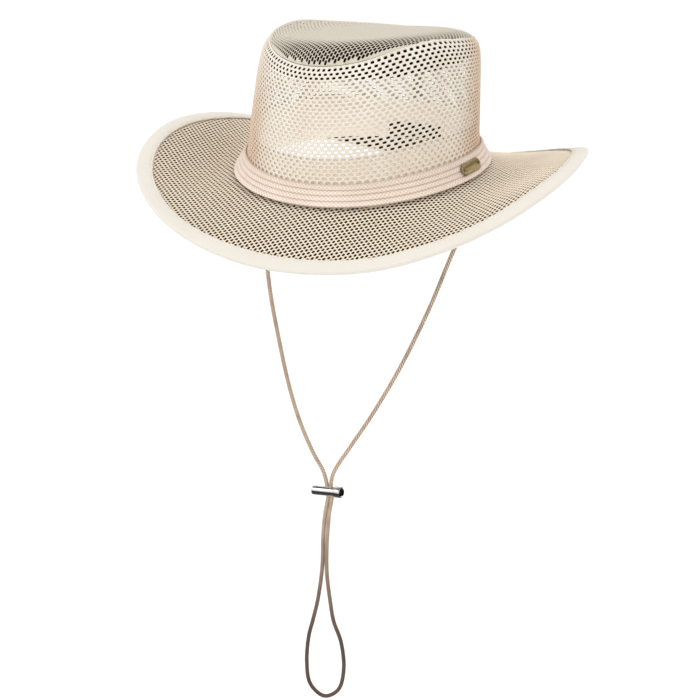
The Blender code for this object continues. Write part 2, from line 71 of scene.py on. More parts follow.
SWEATBAND_HEIGHT = 0.032
SWEATBAND_DROP = 0.0025
SWEATBAND_LIP = 0.0003
LAYER_GAP = 0.0004

# Crown and its net
CROWN_THICKNESS = 0.0014
CROWN_HEIGHT = 0.095
FOOT_FLARE = 0.0052
TOP_CENTRE_SHIFT = 0.005
CROWN_COLUMNS = 97
CROWN_NET_ROWS = 36
CROWN_HOLE = 0.56
CROWN_RIM_DROP = 0.0004
TOP_COLUMN_PITCH = 0.0054
TOP_ROW_PITCH = 0.0024
TOP_HOLE = 0.80
TOP_SMALLEST = 0.45
TOP_SMALL_REACH = 0.50
TOP_LARGE_REACH = 0.85
TOP_OPEN_ANGLE = 300.0
TOP_STRETCH = 0.13
RIDGE_RADIUS = 0.0005
RIDGE_WIDENING = 1.25
RIDGE_SIDES = 10
LINING_THICKNESS = 0.0008
LINING_GAP = 0.0008
SKIRT_LEAST = 0.003
YARN_THICKNESS = 0.0010
TOP_YARN_THICKNESS = 0.0004
TOP_RIM_DROP = 0.0001
TOP_FIELD = (0.09, 0.11)
SLIVER = 0.02
OPEN_LEAST = 0.01
SEAM_TAPE_WIDTH = 0.0085
LABEL_WIDTH = 0.056
LABEL_HEIGHT = 0.0125
LABEL_DEPTHS = (0.0008, 0.0003)
TAPE_DEPTHS = (0.0003, 0.0009)

# Band
BAND_HEIGHT = 0.0138
BAND_THICKNESS = 0.0011
BAND_PLEAT = 0.0011
BAND_LEAN = 0.0026
BAND_LIFT = 0.0017

# Brim and its net
BRIM_WIDTH = 0.083
BRIM_DIP = 0.0057
BRIM_CURL = 1.25
BRIM_THICKNESS = 0.0010
UNDER_THICKNESS = 0.0010
BRIM_COLUMN_PITCH = 0.0047
BRIM_ROW_PITCH = 0.0026
BRIM_HOLE = 0.70
BRIM_NET_SHARE = 0.85
BRIM_RIM_DROP = 0.0003
BINDING_WIDTH = 0.0120
BINDING_THICKNESS = 0.0010
NOSE_REACH = 0.11
NOSE_STEPS = 8
SEAM_SHARE = 0.15

# Plate on the band
PLATE_LENGTH = 0.030
PLATE_HEIGHT = 0.0088
PLATE_HOLE = 0.0011
PLATE_HOLE_INSET = 0.0032
PLATE_ANGLE = -4.0
PLATE_MIDDLE = 0.50
PLATE_SPAN = 0.2
PLATE_SIDES = 24
PIN_SHARE = 0.72
PIN_FOOT = 0.00005
PIN_SHOULDER = 0.0004
PIN_DOME = 0.0003
PIN_STEPS = 5
PIN_SIDES = 16
PLATE_GAP = 0.0003

# Cord and its sleeves
CORD_DIAMETER = 0.0032
CORD_ROWS = 3000
CORD_SIDES = 24
ROUTE_STEPS = 24
BRAID_LAY = 0.0105
BRAID_STRANDS = 4
BRAID_CORE = 0.93
BRAID_RELIEF = 0.10
SLEEVE_WALL = 0.0009
SLEEVE_LENGTH = 0.012
SLEEVE_ROUNDING = 0.0003
SLEEVE_STEPS = 12
SLEEVE_SEAMS = (2, 10)
CORD_CLEARANCE = 0.00035

# Cord lock, along its own axis from the crossing of the cords
LOCK_X = -0.0297
LOCK_Z = -0.2766
LOCK_TILT = 5.0
LOCK_TAIL = 0.0147
LOCK_HEAD = 0.0105
LOCK_RADIUS = 0.00375
LOCK_WALL = 0.0005
LOCK_END = 0.0018
COLLAR_RADIUS = 0.00445
COLLAR_LENGTH = 0.0060
CORD_PITCH = 0.0034
PLUNGER_GAP = 0.0003
PLUNGER_TAIL = 0.0086
PLUNGER_PROUD = 0.0014
PLUNGER_TRAVEL = 0.0022

# Points round the hat of plain and of finely folded pieces
ROUND = 360
FINE_ROUND = 480
LINING_ROUND = 180

# Sewing and welding
STITCH_LENGTH = 0.0024
STITCH_PITCH = 0.0034
STITCH_THREAD = 0.00025
WELD_DISTANCE = 0.00001

# The photograph's view
CAMERA_AZIMUTH = 25.0
CAMERA_PITCH = 20.5
CAMERA_DISTANCE = 1.76
CAMERA_SIDE = -0.0105
CAMERA_HEIGHT = -0.1511
CAMERA_LENS = 116.6
SENSOR = 36.0
FLOOR_LEVEL = -0.80
FLOOR_HALF = 14.0

# The crown's flanks and foot take a painted warm glow of light through the net: the way from flank to flank
# and how far out, and how high up, the tint starts and is full, in metres
FLANK_ANGLE = 25.0
FLANK_RANGE = (0.062, 0.092)
FOOT_RANGE = (0.0, 0.035)
FOOT_GLOW = 0.12

# Light of the bands that metal mirrors, from straight down (0) to straight up (1), and at these two ends
MIRROR_ENDS = (0.12, 0.25)
MIRROR_BANDS = [
    # place, light
    (0.20, 0.03),
    (0.44, 0.03),
    (0.50, 0.90),
    (0.80, 1.00),
    (0.88, 0.10),
    (0.94, 0.05),
]

# Yarns of the nets. The last column is the share of painted peach glow on the crown's flanks.
YARNS = [
    # key, name, cream, peach, dark, cast
    ("net", "ivory_net_yarn", (0.79, 0.74, 0.65), (0.62, 0.43, 0.29), (0.42, 0.32, 0.22), 0.8),
    # The top's yarn is a darker copy of the wall's: painted shade on the top.
    ("top", "ivory_top_yarn", (0.58, 0.53, 0.435), (0.55, 0.47, 0.36), (0.34, 0.27, 0.19), 0.0),
    ("brim", "ivory_brim_yarn", (0.83, 0.72, 0.57), (0.72, 0.57, 0.42), (0.42, 0.32, 0.22), 0.0),
]

# Woven cloths. Pitch is the weave's in metres and relief the strength of its bump.
# Folds is the strength of the painted shade in the band's creases.
CLOTHS = [
    # key, name, light, shade, pitch, relief, sheen, glow, folds
    ("binding", "ivory_binding_cloth", (0.74, 0.70, 0.63), (0.65, 0.60, 0.52), 0.0007, 0.2, 0.2, 0.0, 0.0),
    ("band", "ivory_band_cloth", (0.86, 0.75, 0.65), (0.58, 0.44, 0.35), 0.0030, 0.5, 0.2, 0.0, 0.8),
    ("peach", "peach_sweatband_cloth", (0.90, 0.79, 0.65), (0.83, 0.70, 0.56), 0.0009, 0.25, 0.2, 0.16, 0.0),
    # Taupe is the under-brim's dark cloth; on the crown's lining and size label its near-black is painted
    # shade.
    ("taupe", "dark_taupe_cloth", (0.028, 0.016, 0.009), (0.012, 0.007, 0.004), 0.0010, 0.4, 0.0, 0.0, 0.0),
    ("tape", "olive_seam_tape", (0.30, 0.26, 0.19), (0.2, 0.17, 0.12), 0.0006, 0.2, 0.2, 0.0, 0.0),
    ("thread", "ivory_thread", (0.84, 0.77, 0.66), (0.7, 0.6, 0.48), 0.0008, 0.2, 0.2, 0.0, 0.0),
]

# Metals. Scale is that of their patches.
METALS = [
    # key, name, bright, dull, roughness, scale
    ("brass", "antique_brass_metal", (0.42, 0.33, 0.16), (0.27, 0.20, 0.09), 0.5, 160.0),
    ("nickel", "bright_nickel_metal", (0.8, 0.79, 0.77), (0.68, 0.67, 0.65), 0.12, 120.0),
    ("black", "black_nickel_metal", (0.05, 0.045, 0.045), (0.03, 0.027, 0.027), 0.22, 120.0),
]

# Braid of the cord: its strands, the painted shade of its grooves in the loop and higher up, and the levels
# between which it pales
BRAID_LIGHT = (0.92, 0.78, 0.64)
BRAID_DARK = (0.20, 0.13, 0.085)
BRAID_DEEP_LOW = (0.05, 0.03, 0.02)
BRAID_DEEP_HIGH = (0.25, 0.145, 0.08)
BRAID_PALING_RANGE = (-0.42, -0.27)

# How far a weave's threads stray, as a share of their pitch
WEAVE_WANDER = 0.4

# The white room's light and the soft lights that look at the origin
ROOM_STRENGTH = 1.05
LIGHTS = [
    # name, place, size, power
    ("key", (-1.3, -1.6, 1.6), 1.2, 15.0),
    ("fill", (1.8, -0.9, 0.7), 1.6, 5.0),
    ("rim", (0.6, 1.8, 1.3), 1.2, 5.0),
]

# Crown wall from its foot to the ridge: height is a share of the way up, the reaches are shares of the
# crown's half width and half length, flare is a share of FOOT_FLARE
CROWN_ROWS = [
    # height, side, front, back, pinch, flare
    (0.000, 1.000, 1.000, 1.000, 0.00, 1.00),
    (0.055, 0.999, 0.996, 1.000, 0.00, 0.55),
    (0.110, 0.996, 0.990, 0.999, 0.00, 0.22),
    (0.180, 0.992, 0.980, 0.997, 0.01, 0.04),
    (0.400, 0.978, 0.950, 0.992, 0.04, 0.00),
    (0.620, 0.960, 0.917, 0.986, 0.08, 0.00),
    (0.800, 0.942, 0.887, 0.977, 0.12, 0.00),
    (0.900, 0.923, 0.862, 0.965, 0.145, 0.00),
    (0.965, 0.896, 0.830, 0.945, 0.165, 0.00),
    (1.000, 0.860, 0.790, 0.915, 0.18, 0.00),
]

# Height of the ridge round the crown, as a share of CROWN_HEIGHT
RIDGE_ROWS = [
    # angle, height
    (0, 1.06),
    (20, 1),
    (50, 0.92),
    (90, 0.89),
    (130, 0.93),
    (160, 1.00),
    (185, 1.00),
    (215, 0.98),
    (245, 0.955),
    (270, 0.955),
    (300, 1.00),
    (325, 1.08),
    (345, 1.095),
]

# Height of the brim's edge over the level of the origin, and how far the brim swells up before it rolls over
# to the edge, as shares of BRIM_WIDTH
BRIM_ROWS = [
    # angle, height, roll
    (0, 0.135, 0.055),
    (15, 0.16, 0.03),
    (28, 0.065, 0.03),
    (42, -0.10, 0.045),
    (60, -0.30, 0.032),
    (78, -0.475, 0.03),
    (90, -0.52, 0.025),
    (105, -0.53, 0.02),
    (122, -0.39, 0.02),
    (138, -0.18, 0.02),
    (150, -0.025, 0.02),
    (165, 0.105, 0.022),
    (180, 0.153, 0.035),
    (195, 0.115, 0.05),
    (208, 0.055, 0.035),
    (225, -0.03, 0.01),
    (240, -0.141, 0.003),
    (255, -0.245, 0.015),
    (270, -0.318, 0.022),
    (285, -0.336, 0.016),
    (300, -0.305, 0.016),
    (315, -0.205, 0.03),
    (330, -0.077, 0.04),
    (345, 0.047, 0.067),
]

# How far the pleats of the band stand out, as a share of BAND_PLEAT, at shares of the band's height
PLEAT_ROWS = [
    # height, relief
    (0.00, 0.35),
    (0.02, 0.80),
    (0.06, 1.00),
    (0.15, 0.95),
    (0.225, 0.55),
    (0.245, 0.15),
    (0.27, 0.75),
    (0.31, 1.00),
    (0.40, 0.92),
    (0.47, 0.50),
    (0.49, 0.12),
    (0.52, 0.70),
    (0.56, 0.97),
    (0.65, 0.88),
    (0.715, 0.45),
    (0.735, 0.12),
    (0.76, 0.65),
    (0.80, 0.90),
    (0.90, 0.75),
    (0.97, 0.40),
    (1.00, 0.10),
]

# Section of the sweatband: share of its height, share of its thickness inward, and whether it hangs lower
SWEATBAND_ROWS = [
    # height, inward, lip
    (0.0, 0.0, False),
    (0.25, 0.0, False),
    (0.5, 0.0, False),
    (0.75, 0.0, False),
    (0.97, 0.0, False),
    (1.0, 0.2, False),
    (1.0, 0.8, False),
    (0.97, 1.0, False),
    (0.90, 1.0, False),
    (0.885, 0.8, False),
    (0.87, 1.0, False),
    (0.6, 1.0, False),
    (0.3, 1.0, False),
    (0.0, 1.0, False),
    (0.0, 0.5, True),
]

# The height of the top's middle as a share of CROWN_HEIGHT, its rise for each metre to the wearer's left, its
# fall for each metre to the back and how sharply its side turns down to the ridge
TOP_LEVEL = 1.03
TOP_RISE = 0.10
TOP_FALL = 0.11
TOP_WALL_POWER = 10.0

# The rows of the lining's cap as shares of the way to the ridge, the share of the wall's height at which its
# skirt starts, and the level of the skirt's edge as a share of CROWN_HEIGHT
CAP_REACHES = (0.05, 0.2, 0.4, 0.55, 0.66, 0.74, 0.8, 0.84, 0.87, 0.895, 0.915)
SKIRT_TOP = 0.94
SKIRT_LEVEL = 0.885

# Section of the plate's rim: depth from its back and inset from its outline, in metres
PLATE_SECTION = [
    # depth, inset
    (0.0, 0.0002),
    (0.0002, 0.0),
    (0.00065, 0.0),
    (0.0009, 0.0003),
    (0.0009, 0.0007),
    (0.0008, 0.0010),
]

# Upper side of the folded tape round the brim's edge: share of the tape's width from its seam, and height off
# the net as a share of the tape's full rise
TAPE_ROWS = [
    # share, height
    (0.004, 0.72),
    (0.03, 0.97),
    (0.09, 1.0),
    (0.125, 0.93),
    (0.15, 0.82),
    (0.175, 0.93),
    (0.22, 1.02),
    (0.4, 1.06),
    (0.6, 1.06),
    (0.78, 1.03),
    (0.88, 1.0),
]

# Where the brim's roll is highest, as a share of its width
ROLL_PEAK = 0.75

# Profile of the lock's barrel from its closed tail over the collar and back down the bore: a place and a
# radius, each with a shift in wall thicknesses
BARREL_ROWS = [
    # place, shift, radius, swell
    ("tail", 0.0, "axis", 0.0),
    ("tail", 0.0, "barrel", -1.0),
    ("tail", 0.3, "barrel", -0.3),
    ("tail", 1.0, "barrel", 0.0),
    ("tail", 3.0, "barrel", 0.0),
    ("tail", 3.3, "barrel", -0.4),
    ("tail", 4.0, "barrel", -0.4),
    ("tail", 4.3, "barrel", 0.0),
    ("collar", -0.6, "barrel", 0.0),
    ("collar", -0.3, "barrel", -0.3),
    ("collar", 0.0, "barrel", -0.3),
    ("collar", 0.4, "collar", -0.3),
    ("collar", 1.0, "collar", 0.0),
    ("head", -1.0, "collar", 0.0),
    ("head", -0.3, "collar", -0.3),
    ("head", 0.0, "collar", -1.0),
    ("head", 0.0, "bore", 1.0),
    ("head", -1.0, "bore", 0.0),
    ("end", 0.0, "bore", 0.0),
    ("end", 0.0, "axis", 0.0),
]

# The cord's route from one sleeve to the other, on the plane of the wearer's ears
CORD_ROUTE = [
    # x, z
    (-0.0875, -0.0060),
    (-0.0875, -0.0190),
    (-0.0882, -0.0517),
    (-0.0838, -0.0890),
    (-0.0801, -0.1190),
    (-0.0744, -0.1495),
    (-0.0661, -0.1872),
    (-0.0567, -0.2178),
    (-0.0450, -0.2438),
    (-0.0356, -0.2592),
    (-0.0319, -0.2716),
    (-0.0309, -0.2818),
    (-0.0335, -0.2960),
    (-0.0355, -0.3167),
    (-0.0365, -0.3452),
    (-0.0403, -0.3736),
    (-0.0449, -0.3938),
    (-0.0493, -0.4119),
    (-0.0511, -0.4347),
    (-0.0482, -0.4544),
    (-0.0354, -0.4633),
    (-0.0217, -0.4535),
    (-0.0172, -0.4326),
    (-0.0197, -0.4099),
    (-0.0263, -0.3923),
    (-0.0294, -0.3747),
    (-0.0323, -0.3498),
    (-0.0322, -0.3250),
    (-0.0302, -0.2981),
    (-0.0276, -0.2815),
    (-0.0285, -0.2713),
    (-0.0248, -0.2571),
    (-0.0106, -0.2336),
    (0.0094, -0.2009),
    (0.0322, -0.1586),
    (0.0549, -0.1089),
    (0.0737, -0.0607),
    (0.0871, -0.0321),
    (0.0875, -0.0190),
    (0.0875, -0.0060),
]

CROWN_OUT = SWEATBAND_THICKNESS + LAYER_GAP + CROWN_THICKNESS
BRIM_IN = SWEATBAND_THICKNESS + LAYER_GAP
BINDING_START = 1 - BINDING_WIDTH / BRIM_WIDTH
FOOT_SHARE = (CROWN_OUT + FOOT_FLARE - CROWN_THICKNESS - BRIM_IN) / BRIM_WIDTH


# Camera

def place_camera():
    """The camera at the photograph's viewing angle."""
    a = math.radians(CAMERA_AZIMUTH)
    p = math.radians(CAMERA_PITCH)
    right = Vector((math.cos(a), math.sin(a), 0.0))
    out = Vector((math.sin(a) * math.cos(p), -math.cos(a) * math.cos(p), math.sin(p)))
    up = out.cross(right)
    target = right * CAMERA_SIDE + Vector((0.0, 0.0, CAMERA_HEIGHT))
    data = bpy.data.cameras.new("photo_camera")
    data.lens = CAMERA_LENS
    data.sensor_width = SENSOR
    data.clip_start = 0.01
    data.clip_end = 50.0
    camera = bpy.data.objects.new("photo_camera", data)
    turn = Matrix((right, up, out)).transposed().to_4x4()
    camera.matrix_world = Matrix.Translation(target + out * CAMERA_DISTANCE) @ turn
    bpy.context.scene.collection.objects.link(camera)
    bpy.context.scene.camera = camera


# Shapes by rule

def smooth_table(rows, column, period=None):
    """A function that reads a table's column smoothly between its rows, round a circle if it has a period."""
    xs = [row[0] for row in rows]
    ys = [row[column] for row in rows]
    if period:
        xs = [xs[-2] - period, xs[-1] - period] + xs + [xs[0] + period, xs[1] + period]
        ys = ys[-2:] + ys + ys[:2]
    xs = np.array(xs, float)
    ys = np.array(ys, float)
    slopes = np.gradient(ys, xs)

    def read(x):
        x = np.asarray(x, float)
        if period:
            x = np.mod(x, period)
        x = np.clip(x, xs[0], xs[-1])
        k = np.clip(np.searchsorted(xs, x, side="right") - 1, 0, len(xs) - 2)
        width = xs[k + 1] - xs[k]
        u = (x - xs[k]) / width
        ease = u * u * (3 - 2 * u)
        rise = slopes[k] * width * u * (1 - u) ** 2
        fall = slopes[k + 1] * width * u * u * (1 - u)
        return ys[k] * (1 - ease) + ys[k + 1] * ease + rise - fall

    return read


crown_side = smooth_table(CROWN_ROWS, 1)
crown_front = smooth_table(CROWN_ROWS, 2)
crown_back = smooth_table(CROWN_ROWS, 3)
crown_pinch = smooth_table(CROWN_ROWS, 4)
crown_flare = smooth_table(CROWN_ROWS, 5)
ridge_share = smooth_table(RIDGE_ROWS, 1, 360)
brim_share = smooth_table(BRIM_ROWS, 1, 360)
brim_roll = smooth_table(BRIM_ROWS, 2, 360)
pleat_relief = smooth_table(PLEAT_ROWS, 1)


def oval(angle, side, front, back, pinch=0.0):
    """Plan of an egg-shaped oval: half width, reach to the front and to the back."""
    c = np.cos(np.radians(angle))
    s = np.sin(np.radians(angle))
    return side * c * (1 + pinch * s), np.where(s > 0, back, front) * s


def stack(x, y, z):
    return np.stack(np.broadcast_arrays(x, y, z), axis=-1)


def unit(vectors):
    return vectors / np.maximum(np.linalg.norm(vectors, axis=-1, keepdims=True), 1e-12)


def root_height(angle):
    """The brim's root sinks a little at the front and the back."""
    return -ROOT_DROOP * np.sin(np.radians(angle)) ** 2


def roll_shape(across):
    """Nothing at the root and the edge and 1 at the roll's peak."""
    power = ROLL_PEAK / (1 - ROLL_PEAK)
    return np.maximum(across, 0.0) ** power * (1 - across) / (ROLL_PEAK**power * (1 - ROLL_PEAK))


def brim_point(across, angle):
    """Top surface of the brim, from its root (0) to its edge (1)."""
    across = np.asarray(across, float)
    out = BRIM_IN + BRIM_WIDTH * across
    x, y = oval(angle, HEAD_HALF_WIDTH + out, HEAD_HALF_LENGTH + out, HEAD_HALF_LENGTH + out)
    root = root_height(angle)
    edge = BRIM_WIDTH * brim_share(angle)
    frontness = np.maximum(0.0, -np.sin(np.radians(angle))) ** 2
    dip = BRIM_DIP * (1 - 0.8 * frontness) * np.sin(math.pi * np.minimum(across, 1.0))
    roll = BRIM_WIDTH * brim_roll(angle) * roll_shape(np.minimum(across, 1.0))
    return stack(x, y, root + (edge - root) * np.maximum(across, 0.0) ** BRIM_CURL - dip + roll)


def crown_point(height, angle, extra=0.0, flared=True):
    """Outer surface of the crown's wall, from its foot (0) to the ridge (1)."""
    height = np.asarray(height, float)
    out = CROWN_OUT + extra + (FOOT_FLARE * crown_flare(height) if flared else 0.0)
    half_width = HEAD_HALF_WIDTH * crown_side(height) + out
    front = HEAD_HALF_LENGTH * crown_front(height) + out
    back = HEAD_HALF_LENGTH * crown_back(height) + out
    x, y = oval(angle, half_width, front, back, crown_pinch(height))
    foot = brim_point(FOOT_SHARE, angle)[..., 2] + LAYER_GAP
    return stack(x, y, foot + (CROWN_HEIGHT * ridge_share(angle) - foot) * height)


def top_point(reach, angle, drop=0.0):
    """Surface of the crown's top, from its middle (0) down its steep side to the ridge (1)."""
    reach = np.asarray(reach, float)
    ridge = crown_point(1.0, angle, extra=-LAYER_GAP)
    x = ridge[..., 0] * reach
    y = TOP_CENTRE_SHIFT + (ridge[..., 1] - TOP_CENTRE_SHIFT) * reach
    floor = CROWN_HEIGHT * TOP_LEVEL + TOP_RISE * x - TOP_FALL * y
    wall = reach**TOP_WALL_POWER
    return stack(x, y, ridge[..., 2] * wall + floor * (1 - wall) - drop)


def skirt_share(angle):
    """Share of the wall's height at which the lining's skirt ends."""
    ridge = CROWN_HEIGHT * ridge_share(angle)
    return np.minimum(CROWN_HEIGHT * SKIRT_LEVEL, ridge * SKIRT_TOP - SKIRT_LEAST) / ridge


def normals_of(surface, u, angle, step=0.004):
    """Unit normals of a surface given by a share u and an angle."""
    u = np.asarray(u, float)
    along = surface(np.minimum(u + step, 1.0), angle) - surface(np.maximum(u - step, 0.0), angle)
    around = surface(u, angle + 0.5) - surface(u, angle - 0.5)
    return unit(np.cross(around, along))


def level(vectors):
    """The same directions without their rise."""
    return unit(vectors * np.array((1.0, 1.0, 0.0)))


def brim_up(across, angle):
    """Upward unit normals of the brim."""
    made = normals_of(brim_point, np.clip(across, 0.01, 0.99), angle)
    return made * np.where(made[..., 2:] > 0, 1.0, -1.0)


def brim_layer(across, angle, rise):
    return brim_point(across, angle) + brim_up(across, angle) * np.asarray(rise)[..., None]


def band_point(height, angle, outward):
    """A point at a share of the band's height and a distance off the crown's wall."""
    share = (BAND_LIFT + BAND_HEIGHT * np.asarray(height, float)) / CROWN_HEIGHT
    off = level(normals_of(crown_point, share, angle))
    return crown_point(share, angle) + off * np.asarray(outward)[..., None]


# Meshes

def placed(name, mesh, finish=None):
    """An object at the origin that shows a mesh, with its finish if one is given."""
    if finish:
        mesh.materials.append(finish)
    made = bpy.data.objects.new(name, mesh)
    bpy.context.scene.collection.objects.link(made)
    return made


def point_values(mesh, name, values, kind="FLOAT", domain="POINT"):
    """Store an attribute of a mesh."""
    store = mesh.attributes.new(name, kind, domain)
    field = "vector" if kind == "FLOAT_VECTOR" else "value"
    store.data.foreach_set(field, np.asarray(values, dtype=np.float32).ravel())


def lay_uvs(mesh, uvs):
    """Give each corner of a mesh the UV pair of its point."""
    layer = mesh.uv_layers.new(name="UVMap")
    corner_points = np.empty(len(mesh.loops), dtype=np.int32)
    mesh.loops.foreach_get("vertex_index", corner_points)
    layer.data.foreach_set("uv", np.asarray(uvs, dtype=np.float32)[corner_points].ravel())


def mesh_piece(name, points, faces, finish=None, uvs=None, smooth=True):
    """A mesh object at the origin from points and faces, with a UV pair for each point if given."""
    mesh = bpy.data.meshes.new(name)
    mesh.from_pydata([tuple(p) for p in points], [], [tuple(f) for f in faces])
    if uvs is not None:
        lay_uvs(mesh, uvs)
    if smooth:
        mesh.shade_smooth()
    mesh.update()
    return placed(name, mesh, finish)


def skin(name, rings, finish, tips=(), smooth_angle=None):
    """A closed piece whose rings of points are joined in turn, each end drawn to its tip or else capped."""
    bm = bmesh.new()
    loops = [[bm.verts.new(p) for p in ring] for ring in rings]
    for a, b in zip(loops, loops[1:]):
        for i in range(len(a)):
            j = (i + 1) % len(a)
            bm.faces.new((a[i], a[j], b[j], b[i]))
    for k, loop in enumerate((loops[0], loops[-1])):
        if tips:
            tip = bm.verts.new(tips[k])
            for i in range(len(loop)):
                bm.faces.new((tip, loop[i], loop[(i + 1) % len(loop)]))
        else:
            bm.faces.new(loop if k else loop[::-1])
    bmesh.ops.recalc_face_normals(bm, faces=bm.faces)
    mesh = bpy.data.meshes.new(name)
    bm.to_mesh(mesh)
    bm.free()
    if smooth_angle:
        mesh.shade_smooth()
        mesh.set_sharp_from_angle(angle=math.radians(smooth_angle))
    return placed(name, mesh, finish)


def lathe(name, profile, sides, finish, origin, axis, smooth_angle=35.0):
    """A closed turned piece: a profile of (along, radius) about an axis, which starts and ends on it."""
    axis = axis.normalized()
    first = axis.orthogonal().normalized()
    second = axis.cross(first)
    turns = [2 * math.pi * i / sides for i in range(sides)]
    rings = [
        [origin + axis * x + (first * math.cos(a) + second * math.sin(a)) * radius for a in turns]
        for x, radius in profile[1:-1]
    ]
    tips = [origin + axis * x for x, radius in (profile[0], profile[-1])]
    return skin(name, rings, finish, tips, smooth_angle)


def plain(piece, name):
    """A piece with its modifiers made one plain mesh, which takes its place."""
    bpy.context.view_layer.update()
    evaluated = piece.evaluated_get(bpy.context.evaluated_depsgraph_get())
    mesh = bpy.data.meshes.new_from_object(evaluated)
    old = piece.data
    bpy.data.objects.remove(piece, do_unlink=True)
    bpy.data.meshes.remove(old)
    mesh.name = name
    return placed(name, mesh)


def cut_out(piece, cutters):
    """Take the cutters out of a piece and make it a plain mesh."""
    for cutter in cutters:
        modifier = piece.modifiers.new(cutter.name, "BOOLEAN")
        modifier.operation = "DIFFERENCE"
        modifier.solver = "EXACT"
        modifier.object = cutter
    made = plain(piece, piece.name)
    for cutter in cutters:
        bpy.data.objects.remove(cutter, do_unlink=True)
    return made


def joined(name, pieces):
    """Several pieces made one."""
    bm = bmesh.new()
    for piece in pieces:
        bm.from_mesh(piece.data)
    mesh = bpy.data.meshes.new(name)
    bm.to_mesh(mesh)
    bm.free()
    finish = pieces[0].data.materials[0]
    for piece in pieces:
        bpy.data.objects.remove(piece, do_unlink=True)
    return placed(name, mesh, finish)


def face_outwards(piece):
    """Make a closed mesh's faces point out."""
    bm = bmesh.new()
    bm.from_mesh(piece.data)
    bmesh.ops.recalc_face_normals(bm, faces=bm.faces)
    bm.to_mesh(piece.data)
    bm.free()
    return piece


def carried_section(name, rows, finish):
    """Rows of points, each a ring round the hat, joined in turn and back to the first into one closed skin.

    The UV map holds metres: U runs round the hat and V along the section.
    """
    rings = np.array(rows)
    row_count, count = rings.shape[:2]
    around = np.concatenate([rings, rings[:, :1]], axis=1)
    steps = np.linalg.norm(np.diff(around, axis=1), axis=2).mean(axis=0)
    u = np.concatenate([[0.0], np.cumsum(steps)])
    around = np.concatenate([around, around[:1]], axis=0)
    v = np.concatenate([[0.0], np.cumsum(np.linalg.norm(np.diff(around, axis=0), axis=2).mean(axis=1))])
    quads = []
    corners_uv = []
    for r in range(row_count):
        low = r * count
        high = ((r + 1) % row_count) * count
        for c in range(count):
            d = (c + 1) % count
            quads.append((low + c, low + d, high + d, high + c))
            corners_uv += [(u[c], v[r]), (u[c + 1], v[r]), (u[c + 1], v[r + 1]), (u[c], v[r + 1])]
    mesh = bpy.data.meshes.new(name)
    mesh.from_pydata(rings.reshape(-1, 3).tolist(), [], quads)
    layer = mesh.uv_layers.new(name="UVMap")
    layer.data.foreach_set("uv", np.array(corners_uv, dtype=np.float32).ravel())
    mesh.shade_smooth()
    return face_outwards(placed(name, mesh, finish))


def ring_angles(count):
    return np.arange(count) * 360.0 / count


def hex_field(columns, rows, wrap):
    """Corners and faces of a staggered field of six-sided cells.

    A corner is (column, row), a face lists its six corners, and a centre is given for each face.
    """
    c, r = np.meshgrid(columns, rows)
    c = c.ravel()
    r = r.ravel()
    base = np.stack([2 * c + (r % 2), 12 * r], axis=-1)
    around = np.array([(1, -5), (1, 5), (0, 7), (-1, 5), (-1, -5), (0, -7)])
    corners = base[:, None, :] + around[None]
    keys = corners.reshape(-1, 2).copy()
    if wrap:
        keys[:, 0] %= 2 * wrap
    spots, faces = np.unique(keys, axis=0, return_inverse=True)
    scale = np.array((2.0, 12.0))
    return spots / scale, faces.reshape(-1, 6), base / scale


# Nodes

class Shade:
    """A node's output on which Python's operators add Math nodes."""

    def __init__(self, nodes, socket):
        self.nodes = nodes
        self.socket = socket

    def beside(self, output):
        """Another output of the same node."""
        return Shade(self.nodes, self.socket.node.outputs[output])

    def math(self, operation, *others):
        return self.nodes.node("ShaderNodeMath", {"operation": operation}, dict(enumerate((self, *others))))

    def __add__(self, other):
        return self.math("ADD", other)

    def __mul__(self, other):
        return self.math("MULTIPLY", other)

    def __sub__(self, other):
        return self.math("SUBTRACT", other)

    def __rsub__(self, other):
        return self.nodes.node("ShaderNodeMath", {"operation": "SUBTRACT"}, {0: other, 1: self})

    def __truediv__(self, other):
        return self.math("DIVIDE", other)

    def sine(self):
        return self.math("SINE")

    def absolute(self):
        return self.math("ABSOLUTE")

    def smooth_step(self, low, high):
        """0 below low, 1 above high, and smooth between them."""
        return self.nodes.node("ShaderNodeMapRange", {"interpolation_type": "SMOOTHSTEP"},
                               {"Value": self, "From Min": low, "From Max": high})


class Nodes:
    """A node tree built node by node."""

    def __init__(self, tree):
        self.tree = tree

    def feed(self, socket, value):
        """Link or set an input."""
        if isinstance(value, Shade):
            self.tree.links.new(value.socket, socket)
        elif isinstance(value, tuple) and len(value) == 3 and socket.type == "RGBA":
            socket.default_value = (*value, 1.0)
        else:
            socket.default_value = value

    def node(self, kind, settings=None, inputs=None, output=0):
        """One output of a new node: its settings come first and then values or links for its inputs."""
        made = self.tree.nodes.new(kind)
        for key, value in (settings or {}).items():
            setattr(made, key, value)
        for key, value in (inputs or {}).items():
            self.feed(made.inputs[key], value)
        return Shade(self, made.outputs[output])

    def split(self, vector):
        """The three numbers of a vector."""
        first = self.node("ShaderNodeSeparateXYZ", {}, {0: vector})
        return [first.beside(k) for k in range(3)]

    def blend(self, share, first, second):
        """A colour between two others."""
        return self.node("ShaderNodeMix", {"data_type": "RGBA"}, {0: share, 6: first, 7: second}, 2)


# Geometry Nodes

